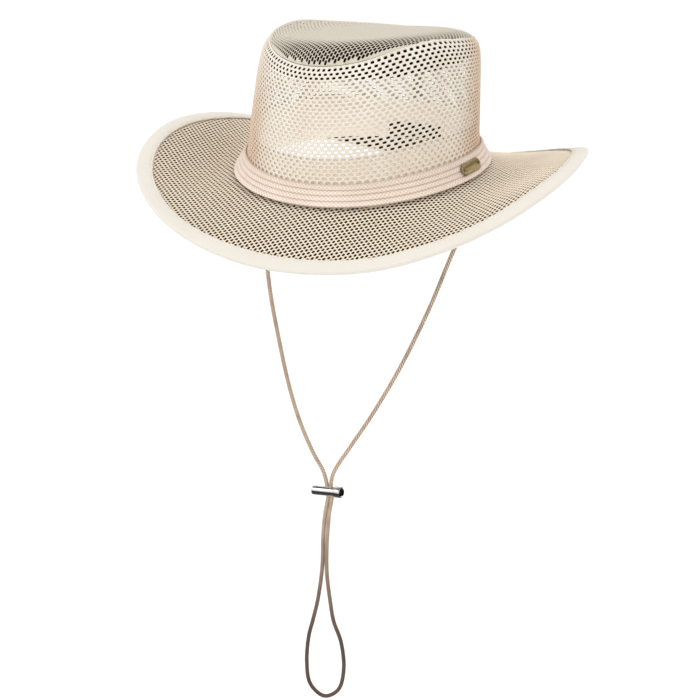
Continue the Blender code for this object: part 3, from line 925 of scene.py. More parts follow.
class Tree(Nodes):
    """A Geometry Nodes tree with named inputs."""

    def __init__(self, name, inputs):
        super().__init__(bpy.data.node_groups.new(name, "GeometryNodeTree"))
        sockets = {"Geometry": "NodeSocketGeometry", **inputs}
        self.ids = {}
        for label, kind in sockets.items():
            socket = self.tree.interface.new_socket(label, in_out="INPUT", socket_type=kind)
            self.ids[label] = socket.identifier
        self.tree.interface.new_socket("Geometry", in_out="OUTPUT", socket_type="NodeSocketGeometry")
        first = self.node("NodeGroupInput")
        self.given = {label: first.beside(label) for label in sockets}
        self.result = self.tree.nodes.new("NodeGroupOutput").inputs["Geometry"]

    def attribute(self, name, kind="FLOAT"):
        """The value of a named attribute."""
        return self.node("GeometryNodeInputNamedAttribute", {"data_type": kind}, {"Name": name}, "Attribute")

    def finished(self, shape):
        """Smooth real geometry in the tree's material as its result."""
        smooth = self.node("GeometryNodeSetShadeSmooth", {}, {"Geometry": shape})
        real = self.node("GeometryNodeRealizeInstances", {}, {"Geometry": smooth})
        dress = {"Geometry": real, "Material": self.given["Material"]}
        self.feed(self.result, self.node("GeometryNodeSetMaterial", {}, dress))
        return self


def pierced_net_tree():
    """Turns a sheet of cells into a net with thickness: each cell gets a hole with a rounded rim.

    The sheet has the attributes hole (a cell's share that is open, or 0) and off (its normal).
    """
    tree = Tree("pierced_net", {
        "Thickness": "NodeSocketFloat",
        "Rim Drop": "NodeSocketFloat",
        "Material": "NodeSocketMaterial",
    })
    given = tree.given
    hole = tree.attribute("hole")
    compare = {"data_type": "FLOAT", "operation": "GREATER_THAN"}
    inset = tree.node("GeometryNodeExtrudeMesh", {"mode": "FACES"}, {
        "Mesh": given["Geometry"],
        "Selection": tree.node("FunctionNodeCompare", compare, {0: hole, 1: OPEN_LEAST}),
        "Offset Scale": 0.0,
        "Individual": True,
    })
    opening = inset.beside("Top")
    shrunk = tree.node("GeometryNodeScaleElements", {"domain": "FACE"}, {
        "Geometry": inset,
        "Selection": opening,
        "Scale": hole,
    })
    rimmed = tree.node("GeometryNodeStoreNamedAttribute", {"data_type": "FLOAT", "domain": "POINT"}, {
        "Geometry": shrunk,
        "Selection": opening,
        "Name": "rim",
        "Value": 1.0,
    })
    sheet = tree.node("GeometryNodeDeleteGeometry", {"domain": "FACE", "mode": "ONLY_FACE"}, {
        "Geometry": rimmed,
        "Selection": opening,
    })
    raised = tree.node("GeometryNodeExtrudeMesh", {"mode": "FACES"}, {
        "Mesh": sheet,
        "Offset Scale": 0.0,
        "Individual": False,
    })
    rise = given["Thickness"] - tree.attribute("rim") * given["Rim Drop"]
    off = {0: tree.attribute("off", "FLOAT_VECTOR"), "Scale": rise}
    lifted = tree.node("GeometryNodeSetPosition", {}, {
        "Geometry": raised,
        "Selection": raised.beside("Top"),
        "Offset": tree.node("ShaderNodeVectorMath", {"operation": "SCALE"}, off),
    })
    both = tree.node("GeometryNodeJoinGeometry", {}, {"Geometry": lifted})
    tree.feed(both.socket.node.inputs["Geometry"], tree.node("GeometryNodeFlipFaces", {}, {"Mesh": sheet}))
    weld = {"Geometry": both, "Distance": WELD_DISTANCE}
    return tree.finished(tree.node("GeometryNodeMergeByDistance", {}, weld))


def stitch_tree():
    """Lays short rounded stitches along every edge path of the input, end to end with gaps."""
    tree = Tree("stitch_row", {
        "Stitch": "NodeSocketFloat",
        "Pitch": "NodeSocketFloat",
        "Thread": "NodeSocketFloat",
        "Material": "NodeSocketMaterial",
    })
    given = tree.given
    path = tree.node("GeometryNodeMeshToCurve", {}, {"Mesh": given["Geometry"]})
    steps = {"Curve": path, "Length": given["Pitch"]}
    spots = tree.node("GeometryNodeCurveToPoints", {"mode": "LENGTH"}, steps)
    bead = tree.node("GeometryNodeMeshUVSphere", {}, {"Segments": 6, "Rings": 4, "Radius": given["Thread"]})
    longer = given["Stitch"] * 0.5 / given["Thread"]
    size = tree.node("ShaderNodeCombineXYZ", {}, {0: 1.0, 1: 1.0, 2: longer})
    tangent = {"Vector": spots.beside("Tangent")}
    sewn = tree.node("GeometryNodeInstanceOnPoints", {}, {
        "Points": spots,
        "Instance": tree.node("GeometryNodeTransform", {}, {"Geometry": bead, "Scale": size}),
        "Rotation": tree.node("FunctionNodeAlignRotationToVector", {"axis": "Z"}, tangent),
    })
    return tree.finished(sewn)


def grown(name, seed, tree, values):
    """The plain mesh that a Geometry Nodes tree makes of a seed piece."""
    modifier = seed.modifiers.new("grow", "NODES")
    modifier.node_group = tree.tree
    for label, value in values.items():
        modifier[tree.ids[label]] = value
    return plain(seed, name)


def net_piece(name, points, faces, off, holes, thickness, rim_drop, finish, tree):
    """A pierced net from its cells. off is each corner's outward normal, holes each cell's open share."""
    seed = mesh_piece(name + "_cells", points, faces)
    point_values(seed.data, "off", off, "FLOAT_VECTOR")
    point_values(seed.data, "hole", holes, domain="FACE")
    point_values(seed.data, "rim", np.zeros(len(points)))
    made = grown(name, seed, tree, {"Thickness": thickness, "Rim Drop": rim_drop, "Material": finish})
    for attribute in ("off", "hole", "rim"):
        found = made.data.attributes.get(attribute)
        if found:
            made.data.attributes.remove(found)
    return made


def stitch_row(name, rows, finish, tree):
    """Stitches along closed rings of points."""
    points = []
    edges = []
    for ring in rows:
        first = len(points)
        points += [tuple(p) for p in ring]
        edges += [(first + i, first + (i + 1) % len(ring)) for i in range(len(ring))]
    mesh = bpy.data.meshes.new(name + "_path")
    mesh.from_pydata(points, edges, [])
    values = {"Stitch": STITCH_LENGTH, "Pitch": STITCH_PITCH, "Thread": STITCH_THREAD, "Material": finish}
    return grown(name, placed(name + "_path", mesh), tree, values)


# Finishes

class Paint(Nodes):
    """A material and the nodes of its finish."""

    def __init__(self, name):
        self.material = bpy.data.materials.new(name)
        self.material.use_nodes = True
        super().__init__(self.material.node_tree)
        self.shader = self.tree.nodes["Principled BSDF"]

    def set(self, **values):
        """Values or links of the shader's own sockets, with spaces written as underscores."""
        for key, value in values.items():
            self.feed(self.shader.inputs[key.replace("_", " ")], value)

    def place(self):
        return self.node("ShaderNodeTexCoord", output="Object")

    def uv(self):
        return self.node("ShaderNodeTexCoord", output="UV")

    def attribute(self, name):
        return self.node("ShaderNodeAttribute", {"attribute_name": name}, output="Fac")

    def noise(self, where, scale, detail=3.0, roughness=0.55, stretch=None):
        if stretch:
            where = self.node("ShaderNodeMapping", {}, {"Vector": where, "Scale": stretch})
        return self.node("ShaderNodeTexNoise", {}, {
            "Vector": where,
            "Scale": scale,
            "Detail": detail,
            "Roughness": roughness,
        })

    def bump(self, height, strength, distance):
        return self.node("ShaderNodeBump", {}, {"Height": height, "Strength": strength, "Distance": distance})


def weave(paint, where, pitch):
    """Height of a plain weave of that pitch in metres, a little crooked, on a vector that holds metres."""
    turn = 2 * math.pi / pitch
    shift = (paint.noise(where, 60.0, 1.0) - 0.5) * (pitch * WEAVE_WANDER)
    warp, weft = [((way + shift) * turn).sine() for way in paint.split(where)[:2]]
    return warp * weft * 0.5 + 0.5


def yarn_finish(name, cream, peach, dark, glow_cast=0.0):
    """Matt yarn of the moulded net with small fibres. The last argument is the painted peach glow on the
    crown's flanks.
    """
    paint = Paint(name)
    where = paint.place()
    patches = paint.noise(where, 22.0, 2.0)
    fibres = paint.noise(where, 1500.0, 2.0, 0.6, stretch=(1.0, 1.0, 0.35))
    share = patches.smooth_step(0.35, 0.7) * 0.2
    # Painted light: a warm glow on the crown's flanks and foot, for light that shines through the net
    if glow_cast:
        x, y, z = paint.split(where)
        turn = math.radians(FLANK_ANGLE)
        flank = (x * math.cos(turn) + y * math.sin(turn)).absolute().smooth_step(*FLANK_RANGE)
        share = share + flank * glow_cast + (1 - z.smooth_step(*FOOT_RANGE)) * FOOT_GLOW
    warm = paint.blend(share, cream, peach)
    shaded = paint.blend(fibres.smooth_step(0.62, 0.85) * 0.35, warm, dark)
    paint.set(Base_Color=shaded, Roughness=fibres * 0.2 + 0.62, Normal=paint.bump(fibres, 0.35, 0.0002))
    paint.set(Sheen_Weight=0.15, Sheen_Roughness=0.5, Specular_IOR_Level=0.25)
    return paint.material


def cloth_finish(name, light, shade, pitch, strength, sheen=0.2, glow=0.0, folds=0.0):
    """Woven cloth on a UV map in metres. Glow stands for the light that comes through a thin cloth.

    Folds is painted shade: it darkens the places where the mesh's crease attribute is high.
    """
    paint = Paint(name)
    where = paint.uv()
    threads = weave(paint, where, pitch)
    patches = paint.noise(paint.place(), 30.0, 2.0)
    dark = (1 - threads).smooth_step(0.25, 0.95) * 0.6 + (patches - 0.5) * 0.5
    if folds:
        dark = dark + paint.attribute("fold_shade") * folds
    colour = paint.blend(dark.math("MAXIMUM", 0.0), light, shade)
    paint.set(Base_Color=colour, Roughness=0.8, Normal=paint.bump(threads, strength, pitch * 0.25))
    paint.set(Sheen_Weight=sheen, Sheen_Roughness=0.5, Specular_IOR_Level=sheen)
    paint.set(Emission_Color=colour, Emission_Strength=glow)
    return paint.material


def metal_finish(name, bright, dull, roughness, scale):
    """Polished or aged metal with fine scratches and patches."""
    paint = Paint(name)
    where = paint.place()
    patches = paint.noise(where, scale, 4.0, 0.6)
    scratches = paint.noise(where, scale * 8, 3.0, 0.6, stretch=(1.0, 1.0, 6.0))
    paint.set(Base_Color=paint.blend(patches.smooth_step(0.4, 0.68), bright, dull), Metallic=1.0)
    paint.set(Roughness=patches * 0.15 + roughness, Normal=paint.bump(scratches, 0.05, 0.0001))
    return paint.material


def braid_finish(name, light, dark):
    """Braided yarn, patterned on the piece's own coordinates."""
    paint = Paint(name)
    where = paint.place()
    fibres = paint.noise(where, 2200.0, 2.0, 0.6)
    patches = paint.noise(where, 90.0, 2.0)
    # Painted shade: the braid's grooves darken toward the deep colours
    groove_shade = paint.attribute("groove_shade")
    # The cord is darker toward the bottom and pales higher up
    low = paint.split(where)[2].smooth_step(*BRAID_PALING_RANGE)
    body = paint.blend(low, dark, light)
    deep = paint.blend(low, BRAID_DEEP_LOW, BRAID_DEEP_HIGH)
    soiled = paint.blend(patches.smooth_step(0.4, 0.7) * 0.4, body, deep)
    colour = paint.blend((groove_shade * 1.3 + (fibres - 0.5) * 0.3).math("MAXIMUM", 0.0), soiled, deep)
    paint.set(Base_Color=colour, Roughness=0.8, Normal=paint.bump(fibres, 0.4, 0.0001))
    paint.set(Sheen_Weight=0.2, Specular_IOR_Level=0.25)
    return paint.material


def floor_finish():
    paint = Paint("pale_floor")
    paint.set(Base_Color=(0.96, 0.96, 0.96), Roughness=0.9, Specular_IOR_Level=0.0)
    return paint.material


def make_finishes():
    """Every finish by its key in the tables."""
    made = {"braid": braid_finish("tan_braided_yarn", BRAID_LIGHT, BRAID_DARK)}
    for key, name, cream, peach, dark, glow_cast in YARNS:
        made[key] = yarn_finish(name, cream, peach, dark, glow_cast)
    for key, name, light, shade, pitch, strength, sheen, glow, folds in CLOTHS:
        made[key] = cloth_finish(name, light, shade, pitch, strength, sheen, glow, folds)
    for key, name, bright, dull, roughness, scale in METALS:
        made[key] = metal_finish(name, bright, dull, roughness, scale)
    return made


# Crown

def crown_net(finish, tree):
    """The pierced wall of the crown, its holes laid round the head in staggered rows."""
    columns = np.arange(CROWN_COLUMNS)
    corners, faces, centres = hex_field(columns, np.arange(CROWN_NET_ROWS + 1), CROWN_COLUMNS)
    angle = corners[:, 0] * 360.0 / CROWN_COLUMNS
    height = np.clip(corners[:, 1] / (CROWN_NET_ROWS - 0.4), 0.0, 1.0)
    points = crown_point(height, angle)
    off = normals_of(crown_point, height, angle)
    points = points - off * YARN_THICKNESS
    row = centres[:, 1]
    holes = np.where((row > 0.5) & (row < CROWN_NET_ROWS - 0.7), CROWN_HOLE, 0.0)
    return net_piece("crown_net", points, faces, off, holes, YARN_THICKNESS, CROWN_RIM_DROP, finish, tree)


def ridge_reader():
    """Finds the angle and the reach of a place on the top, seen from above."""
    angles = np.arange(0.0, 360.0, 0.5)
    ridge = crown_point(1.0, angles, extra=-LAYER_GAP)
    heading = np.degrees(np.arctan2(ridge[:, 1] - TOP_CENTRE_SHIFT, ridge[:, 0])) % 360.0
    order = np.argsort(heading)
    heading = heading[order]
    sorted_angles = angles[order]
    sorted_angles = np.where(sorted_angles - heading > 180, sorted_angles - 360, sorted_angles)
    sorted_angles = np.where(sorted_angles - heading < -180, sorted_angles + 360, sorted_angles)
    heading = np.concatenate([heading[-3:] - 360, heading, heading[:3] + 360])
    sorted_angles = np.concatenate([sorted_angles[-3:] - 360, sorted_angles, sorted_angles[:3] + 360])

    def read(x, y):
        toward = np.degrees(np.arctan2(y - TOP_CENTRE_SHIFT, x)) % 360.0
        angle = np.interp(toward, heading, sorted_angles)
        edge = crown_point(1.0, angle, extra=-LAYER_GAP)
        far = np.hypot(edge[..., 0], edge[..., 1] - TOP_CENTRE_SHIFT)
        return angle, np.hypot(x, y - TOP_CENTRE_SHIFT) / far

    return read


def clipped_field(half_width, half_length, row_pitch, column_pitch, keep):
    """Hex cells on the plane, long side front to back, with a corner that keep counts as inside."""
    column_count = int(half_length / column_pitch) + 2
    row_count = int(half_width / row_pitch) + 2
    corners, faces, _ = hex_field(
        np.arange(-column_count, column_count + 1),
        np.arange(-2 * (row_count // 2 + 1), row_count + 2),
        None,
    )
    x = -corners[:, 1] * row_pitch
    y = corners[:, 0] * column_pitch
    kept = keep(x, y)[faces].any(axis=1)
    used, faces = np.unique(faces[kept], return_inverse=True)
    return x[used], y[used], faces.reshape(-1, 6)


def cell_areas(x, y, faces):
    """Area of each cell on the plane."""
    fx = x[faces]
    fy = y[faces]
    return 0.5 * np.abs((fx * np.roll(fy, -1, axis=1) - np.roll(fx, -1, axis=1) * fy).sum(axis=1))


def crown_top_net(finish, tree):
    """The pierced top, its holes laid front to back and smaller toward its middle.

    The field of cells is wider than the top, because its steep side takes in more of them than its plan does.
    """
    locate = ridge_reader()
    table = np.linspace(0.0, 1.0, 400)
    stretched = table + TOP_STRETCH * table**TOP_WALL_POWER
    limit = stretched[-2]

    def keep(x, y):
        return locate(x, y)[1] < limit

    half_width, half_length = [half * (1 + TOP_STRETCH) for half in TOP_FIELD]
    x, y, faces = clipped_field(half_width, half_length, TOP_ROW_PITCH, TOP_COLUMN_PITCH, keep)
    angle, place = locate(x, y)
    pull = np.minimum(limit / np.maximum(place, 1e-6), 1.0)
    areas = cell_areas(x * pull, TOP_CENTRE_SHIFT + (y - TOP_CENTRE_SHIFT) * pull, faces)
    cut_cell = (place[faces] > limit).any(axis=1)
    reach = np.interp(np.minimum(place, limit), stretched, table)
    points = top_point(reach, angle)
    off = -normals_of(top_point, np.maximum(reach, 0.02), angle)
    off = off * np.where(off[:, 2:] > 0, 1.0, -1.0)
    points = points - off * TOP_YARN_THICKNESS
    growth = np.interp(reach[faces].mean(axis=1), (TOP_SMALL_REACH, TOP_LARGE_REACH), (0.0, 1.0))
    toward = np.cos(np.radians(angle[faces[:, 0]] - TOP_OPEN_ANGLE))
    growth = growth * np.clip(0.5 + toward, 0.0, 1.0)
    share = TOP_HOLE * (TOP_SMALLEST + (1 - TOP_SMALLEST) * growth)
    holes = np.where(cut_cell, 0.0, share)
    kept = areas > SLIVER * TOP_ROW_PITCH * TOP_COLUMN_PITCH
    return net_piece("crown_top_net", points, faces[kept], off, holes[kept], TOP_YARN_THICKNESS,
                     TOP_RIM_DROP, finish, tree)


def ridge_crease(finish):
    """The smooth rounded crease where the wall turns over into the top."""
    angles = ring_angles(ROUND)
    centre = crown_point(1.0, angles) - np.array((0.0, 0.0, RIDGE_RADIUS * 0.7))
    out = level(normals_of(crown_point, 0.9, angles))
    rings = []
    for turn in np.arange(RIDGE_SIDES) * 2 * math.pi / RIDGE_SIDES:
        rise = np.array((0.0, 0.0, math.sin(turn) * RIDGE_RADIUS))
        rings.append(centre + out * math.cos(turn) * RIDGE_RADIUS * RIDGE_WIDENING + rise)
    return carried_section("ridge_crease", rings, finish)


def crown_lining_piece(finish):
    """The dark cap close under the net top, whose skirt hangs inside the wall; its near-black is painted
    shade.
    """
    angles = ring_angles(LINING_ROUND)
    near = CROWN_THICKNESS + LINING_GAP
    far = near + LINING_THICKNESS
    fall = skirt_share(angles) - SKIRT_TOP

    def skirt(share, depth):
        return crown_point(SKIRT_TOP + fall * share, angles, extra=-depth)

    poles = [np.tile(top_point(0.0, 0.0, depth), (LINING_ROUND, 1)) for depth in (near, far)]
    rows = [poles[0]]
    rows += [top_point(r, angles, near) for r in CAP_REACHES]
    rows += [skirt(share, near) for share in (0.0, 0.5, 1.0)]
    rows += [skirt(share, far) for share in (1.0, 0.5, 0.0)]
    rows += [top_point(r, angles, far) for r in reversed(CAP_REACHES)]
    return carried_section("crown_lining_and_shade", rows + [poles[1]], finish)


def size_label(finish):
    """The size label at the back of the sweatband, seen only through the net; its near-black is painted
    shade.
    """
    half = math.degrees(LABEL_WIDTH / 2 / HEAD_HALF_LENGTH)
    angles = np.linspace(90.0 - half, 90.0 + half, 13)
    heights = np.linspace(0.0, LABEL_HEIGHT / CROWN_HEIGHT, 7)
    band = CROWN_THICKNESS + LAYER_GAP + SWEATBAND_THICKNESS
    front, back = [
        np.array([crown_point(h, angles, extra=-band - depth, flared=False) for h in heights])
        for depth in LABEL_DEPTHS
    ]
    return thick_patch("size_label", front, back, finish)


def back_seam_tape(finish):
    """The tape over the crown's back seam, inside the net."""
    half = math.degrees(SEAM_TAPE_WIDTH / 2 / HEAD_HALF_LENGTH)
    angles = np.linspace(90.0 - half, 90.0 + half, 5)
    end = float(skirt_share(90.0)) - 0.01
    heights = np.linspace(SWEATBAND_HEIGHT / CROWN_HEIGHT + 0.02, end, 24)
    near, far = [
        np.array([crown_point(h, angles, extra=-CROWN_THICKNESS - depth) for h in heights])
        for depth in TAPE_DEPTHS
    ]
    return thick_patch("back_seam_tape", near, far, finish)


def thick_patch(name, front, back, finish):
    """A closed patch between two grids of points, with a UV map in metres."""
    rows, columns = front.shape[:2]
    points = np.concatenate([front.reshape(-1, 3), back.reshape(-1, 3)])
    shift = rows * columns
    faces = []
    for r in range(rows - 1):
        for c in range(columns - 1):
            a = r * columns + c
            faces.append((a, a + 1, a + columns + 1, a + columns))
            faces.append((a + shift, a + columns + shift, a + columns + 1 + shift, a + 1 + shift))
    border = list(range(columns))
    border += [r * columns + columns - 1 for r in range(1, rows)]
    border += [(rows - 1) * columns + c for c in range(columns - 2, -1, -1)]
    border += [r * columns for r in range(rows - 2, 0, -1)]
    for a, b in zip(border, border[1:] + border[:1]):
        faces.append((b, a, a + shift, b + shift))
    across = np.linalg.norm(front[0] - front[0, 0], axis=1)
    along = np.linalg.norm(front[:, 0] - front[0, 0], axis=1)
    uvs = [(across[c], along[r]) for r in range(rows) for c in range(columns)] * 2
    return face_outwards(mesh_piece(name, points, faces, finish, uvs))


# Sweatband

def sweatband_piece(finish):
    """The smooth band inside the crown's foot, its upper edge rolled over."""
    angles = ring_angles(ROUND)
    top = SWEATBAND_HEIGHT / CROWN_HEIGHT
    outside = -(CROWN_THICKNESS + LAYER_GAP)

    def at(height, inward, drop=0.0):
        made = crown_point(max(height, 0.0), angles, extra=outside - inward, flared=False)
        if height <= 0.0:
            made[:, 2] = root_height(angles) - SWEATBAND_DROP
        made[:, 2] -= drop
        return made

    rows = [
        at(top * height, SWEATBAND_THICKNESS * inward, SWEATBAND_LIP if drop else 0.0)
        for height, inward, drop in SWEATBAND_ROWS
    ]
    return carried_section("sweatband_cloth", rows, finish)


# Band and plate

def hat_band_piece(finish):
    """The pleated band, whose folds wander a little round the hat."""
    angles = ring_angles(FINE_ROUND)
    turns = np.radians(angles)
    heights = np.array([row[0] for row in PLEAT_ROWS])
    outside = []
    for h in heights:
        wander = 0.012 * np.sin(3 * turns + 9 * h) + 0.008 * np.sin(7 * turns + 17 * h)
        wander = wander * math.sin(math.pi * h)
        soft = 1 + 0.12 * np.sin(5 * turns + 20 * h) + 0.06 * np.sin(13 * turns + 31 * h)
        relief = BAND_PLEAT * pleat_relief(h) * np.minimum(soft, 1.0)
        far = LAYER_GAP + BAND_LEAN * (1 - h) + BAND_THICKNESS + relief
        outside.append(band_point(np.clip(h + wander, 0, 1), angles, far))
    inside = [band_point(h, angles, LAYER_GAP + BAND_LEAN * (1 - h)) for h in (1.0, 0.75, 0.5, 0.25, 0.0)]
    made = carried_section("pleated_band", outside + inside, finish)
    # Painted shade: each row's depth into a pleat's crease, which the band's finish darkens
    depth = np.concatenate([1 - pleat_relief(heights), np.zeros(len(inside))])
    point_values(made.data, "fold_shade", np.repeat(depth, FINE_ROUND))
    return made


def plate_frame():
    """Middle of the plate's back face and its three directions."""
    lean = BAND_LEAN * (1 - PLATE_MIDDLE)
    reach = LAYER_GAP + lean + BAND_THICKNESS + BAND_PLEAT
    middle = Vector(band_point(PLATE_MIDDLE, PLATE_ANGLE, reach))
    upper = Vector(band_point(PLATE_MIDDLE + PLATE_SPAN, PLATE_ANGLE, reach - BAND_LEAN * PLATE_SPAN))
    ahead = Vector(band_point(PLATE_MIDDLE, PLATE_ANGLE + 1, reach))
    behind = Vector(band_point(PLATE_MIDDLE, PLATE_ANGLE - 1, reach))
    along = (ahead - behind).normalized()
    out = along.cross(upper - middle).normalized()
    return middle + out * PLATE_GAP, along, out, out.cross(along)


def stadium(length, height, sides):
    radius = height / 2
    straight = length / 2 - radius
    points = []
    for centre, first in ((straight, -90.0), (-straight, 90.0)):
        for i in range(sides + 1):
            turn = math.radians(first + 180.0 * i / sides)
            points.append((centre + radius * math.cos(turn), radius * math.sin(turn)))
    return points


def band_plate(finish):
    """The bare metal plate with its rounded rim and two pin holes."""
    base, along, out, rise = plate_frame()
    outline = stadium(PLATE_LENGTH, PLATE_HEIGHT, PLATE_SIDES)
    layers = []
    for depth, inset in PLATE_SECTION:
        scale_u = 1 - 2 * inset / PLATE_LENGTH
        scale_v = 1 - 2 * inset / PLATE_HEIGHT
        layers.append([base + out * depth + along * (u * scale_u) + rise * (v * scale_v) for u, v in outline])
    plate = skin("band_plate", layers, finish, smooth_angle=50.0)
    profile = [(-0.001, 0.0), (-0.001, PLATE_HOLE), (0.002, PLATE_HOLE), (0.002, 0.0)]
    cutters = []
    for side in (-1, 1):
        spot = base + along * side * (PLATE_LENGTH / 2 - PLATE_HOLE_INSET)
        cutters.append(lathe(f"plate_cutter_{side + 1}", profile, PLATE_SIDES, finish, spot, out))
    return cut_out(plate, cutters)


def plate_pins(finish):
    """The two small domed pins in the plate's holes, as one piece."""
    base, along, out, rise = plate_frame()
    radius = PLATE_HOLE * PIN_SHARE
    profile = [(PIN_FOOT, 0.0), (PIN_FOOT, radius)]
    for k in range(1, PIN_STEPS):
        turn = math.pi / 2 * k / PIN_STEPS
        profile.append((PIN_SHOULDER + PIN_DOME * math.sin(turn), radius * math.cos(turn)))
    profile.append((PIN_SHOULDER + PIN_DOME, 0.0))
    made = []
    for side in (-1, 1):
        spot = base + along * side * (PLATE_LENGTH / 2 - PLATE_HOLE_INSET)
        made.append(lathe(f"pin_{side + 1}", profile, PIN_SIDES, finish, spot, out))
    return joined("plate_pins", made)


# Brim

def brim_locate(x, y):
    """Share across the brim and angle of a place seen from above."""
    low = np.full(x.shape, -0.06)
    high = np.full(x.shape, 0.14)
    for _ in range(40):
        out = (low + high) / 2
        inside = (x / (HEAD_HALF_WIDTH + out)) ** 2 + (y / (HEAD_HALF_LENGTH + out)) ** 2 < 1.0
        high = np.where(inside, out, high)
        low = np.where(inside, low, out)
    out = (low + high) / 2
    angle = np.degrees(np.arctan2(y / (HEAD_HALF_LENGTH + out), x / (HEAD_HALF_WIDTH + out)))
    return (out - BRIM_IN) / BRIM_WIDTH, angle


def brim_net(finish, tree):
    """The pierced upper layer of the brim, its holes laid front to back."""
    least = 0.02
    most = 1 - (BINDING_THICKNESS + LAYER_GAP) / BRIM_WIDTH - 0.06

    def keep(x, y):
        across = brim_locate(x, y)[0]
        return (across > least) & (across < most)

    reach = BRIM_IN + BRIM_WIDTH
    x, y, faces = clipped_field(
        HEAD_HALF_WIDTH + reach, HEAD_HALF_LENGTH + reach, BRIM_ROW_PITCH, BRIM_COLUMN_PITCH, keep
    )
    across, angle = brim_locate(x, y)
    snapped = np.clip(across, least, most)
    points = brim_point(snapped, angle)
    off = brim_up(snapped, angle)
    points = points - off * BRIM_THICKNESS
    areas = cell_areas(points[:, 0], points[:, 1], faces) / (BRIM_ROW_PITCH * BRIM_COLUMN_PITCH)
    cut = ((across[faces] < least) | (across[faces] > most)).any(axis=1)
    holes = np.where((areas > 0.75) & ~cut, BRIM_HOLE, 0.0)
    kept = areas > SLIVER
    return net_piece("brim_net", points, faces[kept], off, holes[kept], BRIM_THICKNESS * BRIM_NET_SHARE,
                     BRIM_RIM_DROP, finish, tree)


def under_brim_cloth(finish):
    """The plain dark cloth under the net."""
    angles = ring_angles(ROUND)
    top = -BRIM_THICKNESS - LAYER_GAP * 0.5
    shares = np.linspace(0.004, BINDING_START - LAYER_GAP / BRIM_WIDTH, 22)
    upper = [brim_layer(a, angles, top) for a in shares]
    lower = [brim_layer(a, angles, top - UNDER_THICKNESS) for a in shares[::-1]]
    return carried_section("under_brim_cloth", upper + lower, finish)


def binding_section():
    """Section of the folded tape as (share across the brim, rise over the net's top)."""
    near = LAYER_GAP * 0.4
    far = LAYER_GAP + BINDING_THICKNESS
    below = -BRIM_THICKNESS
    width = 1 - BINDING_START
    middle = below / 2
    half = far - middle
    upper = [(BINDING_START, near)]
    upper += [(BINDING_START + width * share, far * height) for share, height in TAPE_ROWS]
    nose = []
    for k in range(1, NOSE_STEPS):
        turn = math.pi / 2 - math.pi * k / NOSE_STEPS
        across = 1 - NOSE_REACH * width + NOSE_REACH * width * math.cos(turn)
        nose.append((across, middle + half * math.sin(turn)))
    lower = [(share, below - lift) for share, lift in reversed(upper)]
    inner = [
        (BINDING_START + width * 0.3, below - near * 0.5),
        (BINDING_START + width * 0.8, middle),
        (BINDING_START + width * 0.3, near * 0.5),
    ]
    return upper + nose + lower + inner


def brim_binding_piece(finish):
    """The pale tape folded round the brim's edge, drawn in along its seam."""
    angles = ring_angles(FINE_ROUND)
    turns = np.radians(angles)
    rows = []
    for share, rise in binding_section():
        way = (share - BINDING_START) / (1 - BINDING_START)
        ripple = 0.00008 * np.sin(61 * turns + 3 * way) + 0.00006 * np.sin(97 * turns)
        wander = 0.001 * np.sin(9 * turns + 1.0) * (1 - way)
        outward = np.sign(rise + BRIM_THICKNESS / 2)
        rows.append(brim_layer(share + wander, angles, rise + ripple * outward))
    return carried_section("brim_binding_tape", rows, finish)


def binding_stitches(finish, tree):
    """The seam of the tape, above and under the brim."""
    angles = ring_angles(FINE_ROUND)
    seam = BINDING_START + SEAM_SHARE * BINDING_WIDTH / BRIM_WIDTH
    high = (LAYER_GAP + BINDING_THICKNESS) * 0.95
    rows = [brim_layer(seam, angles, rise) for rise in (high, -BRIM_THICKNESS - high)]
    return stitch_row("binding_stitches", rows, finish, tree)


# Cord

def smooth_route(points, count):
    """Evenly spaced points of a smooth curve through the route's points, and its length."""
    points = [np.array(p, float) for p in points]
    ends = [points[0] * 2 - points[1]] + points + [points[-1] * 2 - points[-2]]
    fine = []
    for a, b, c, d in zip(ends, ends[1:], ends[2:], ends[3:]):
        slope = c - a
        bend = 2 * a - 5 * b + 4 * c - d
        twist = 3 * b - a - 3 * c + d
        for k in range(ROUTE_STEPS):
            u = k / ROUTE_STEPS
            fine.append(0.5 * (2 * b + slope * u + bend * u**2 + twist * u**3))
    fine.append(points[-1])
    fine = np.array(fine)
    travelled = np.concatenate([[0.0], np.cumsum(np.linalg.norm(np.diff(fine, axis=0), axis=1))])
    spots = np.linspace(0.0, travelled[-1], count)
    return np.stack([np.interp(spots, travelled, fine[:, k]) for k in range(3)], axis=1), travelled[-1]


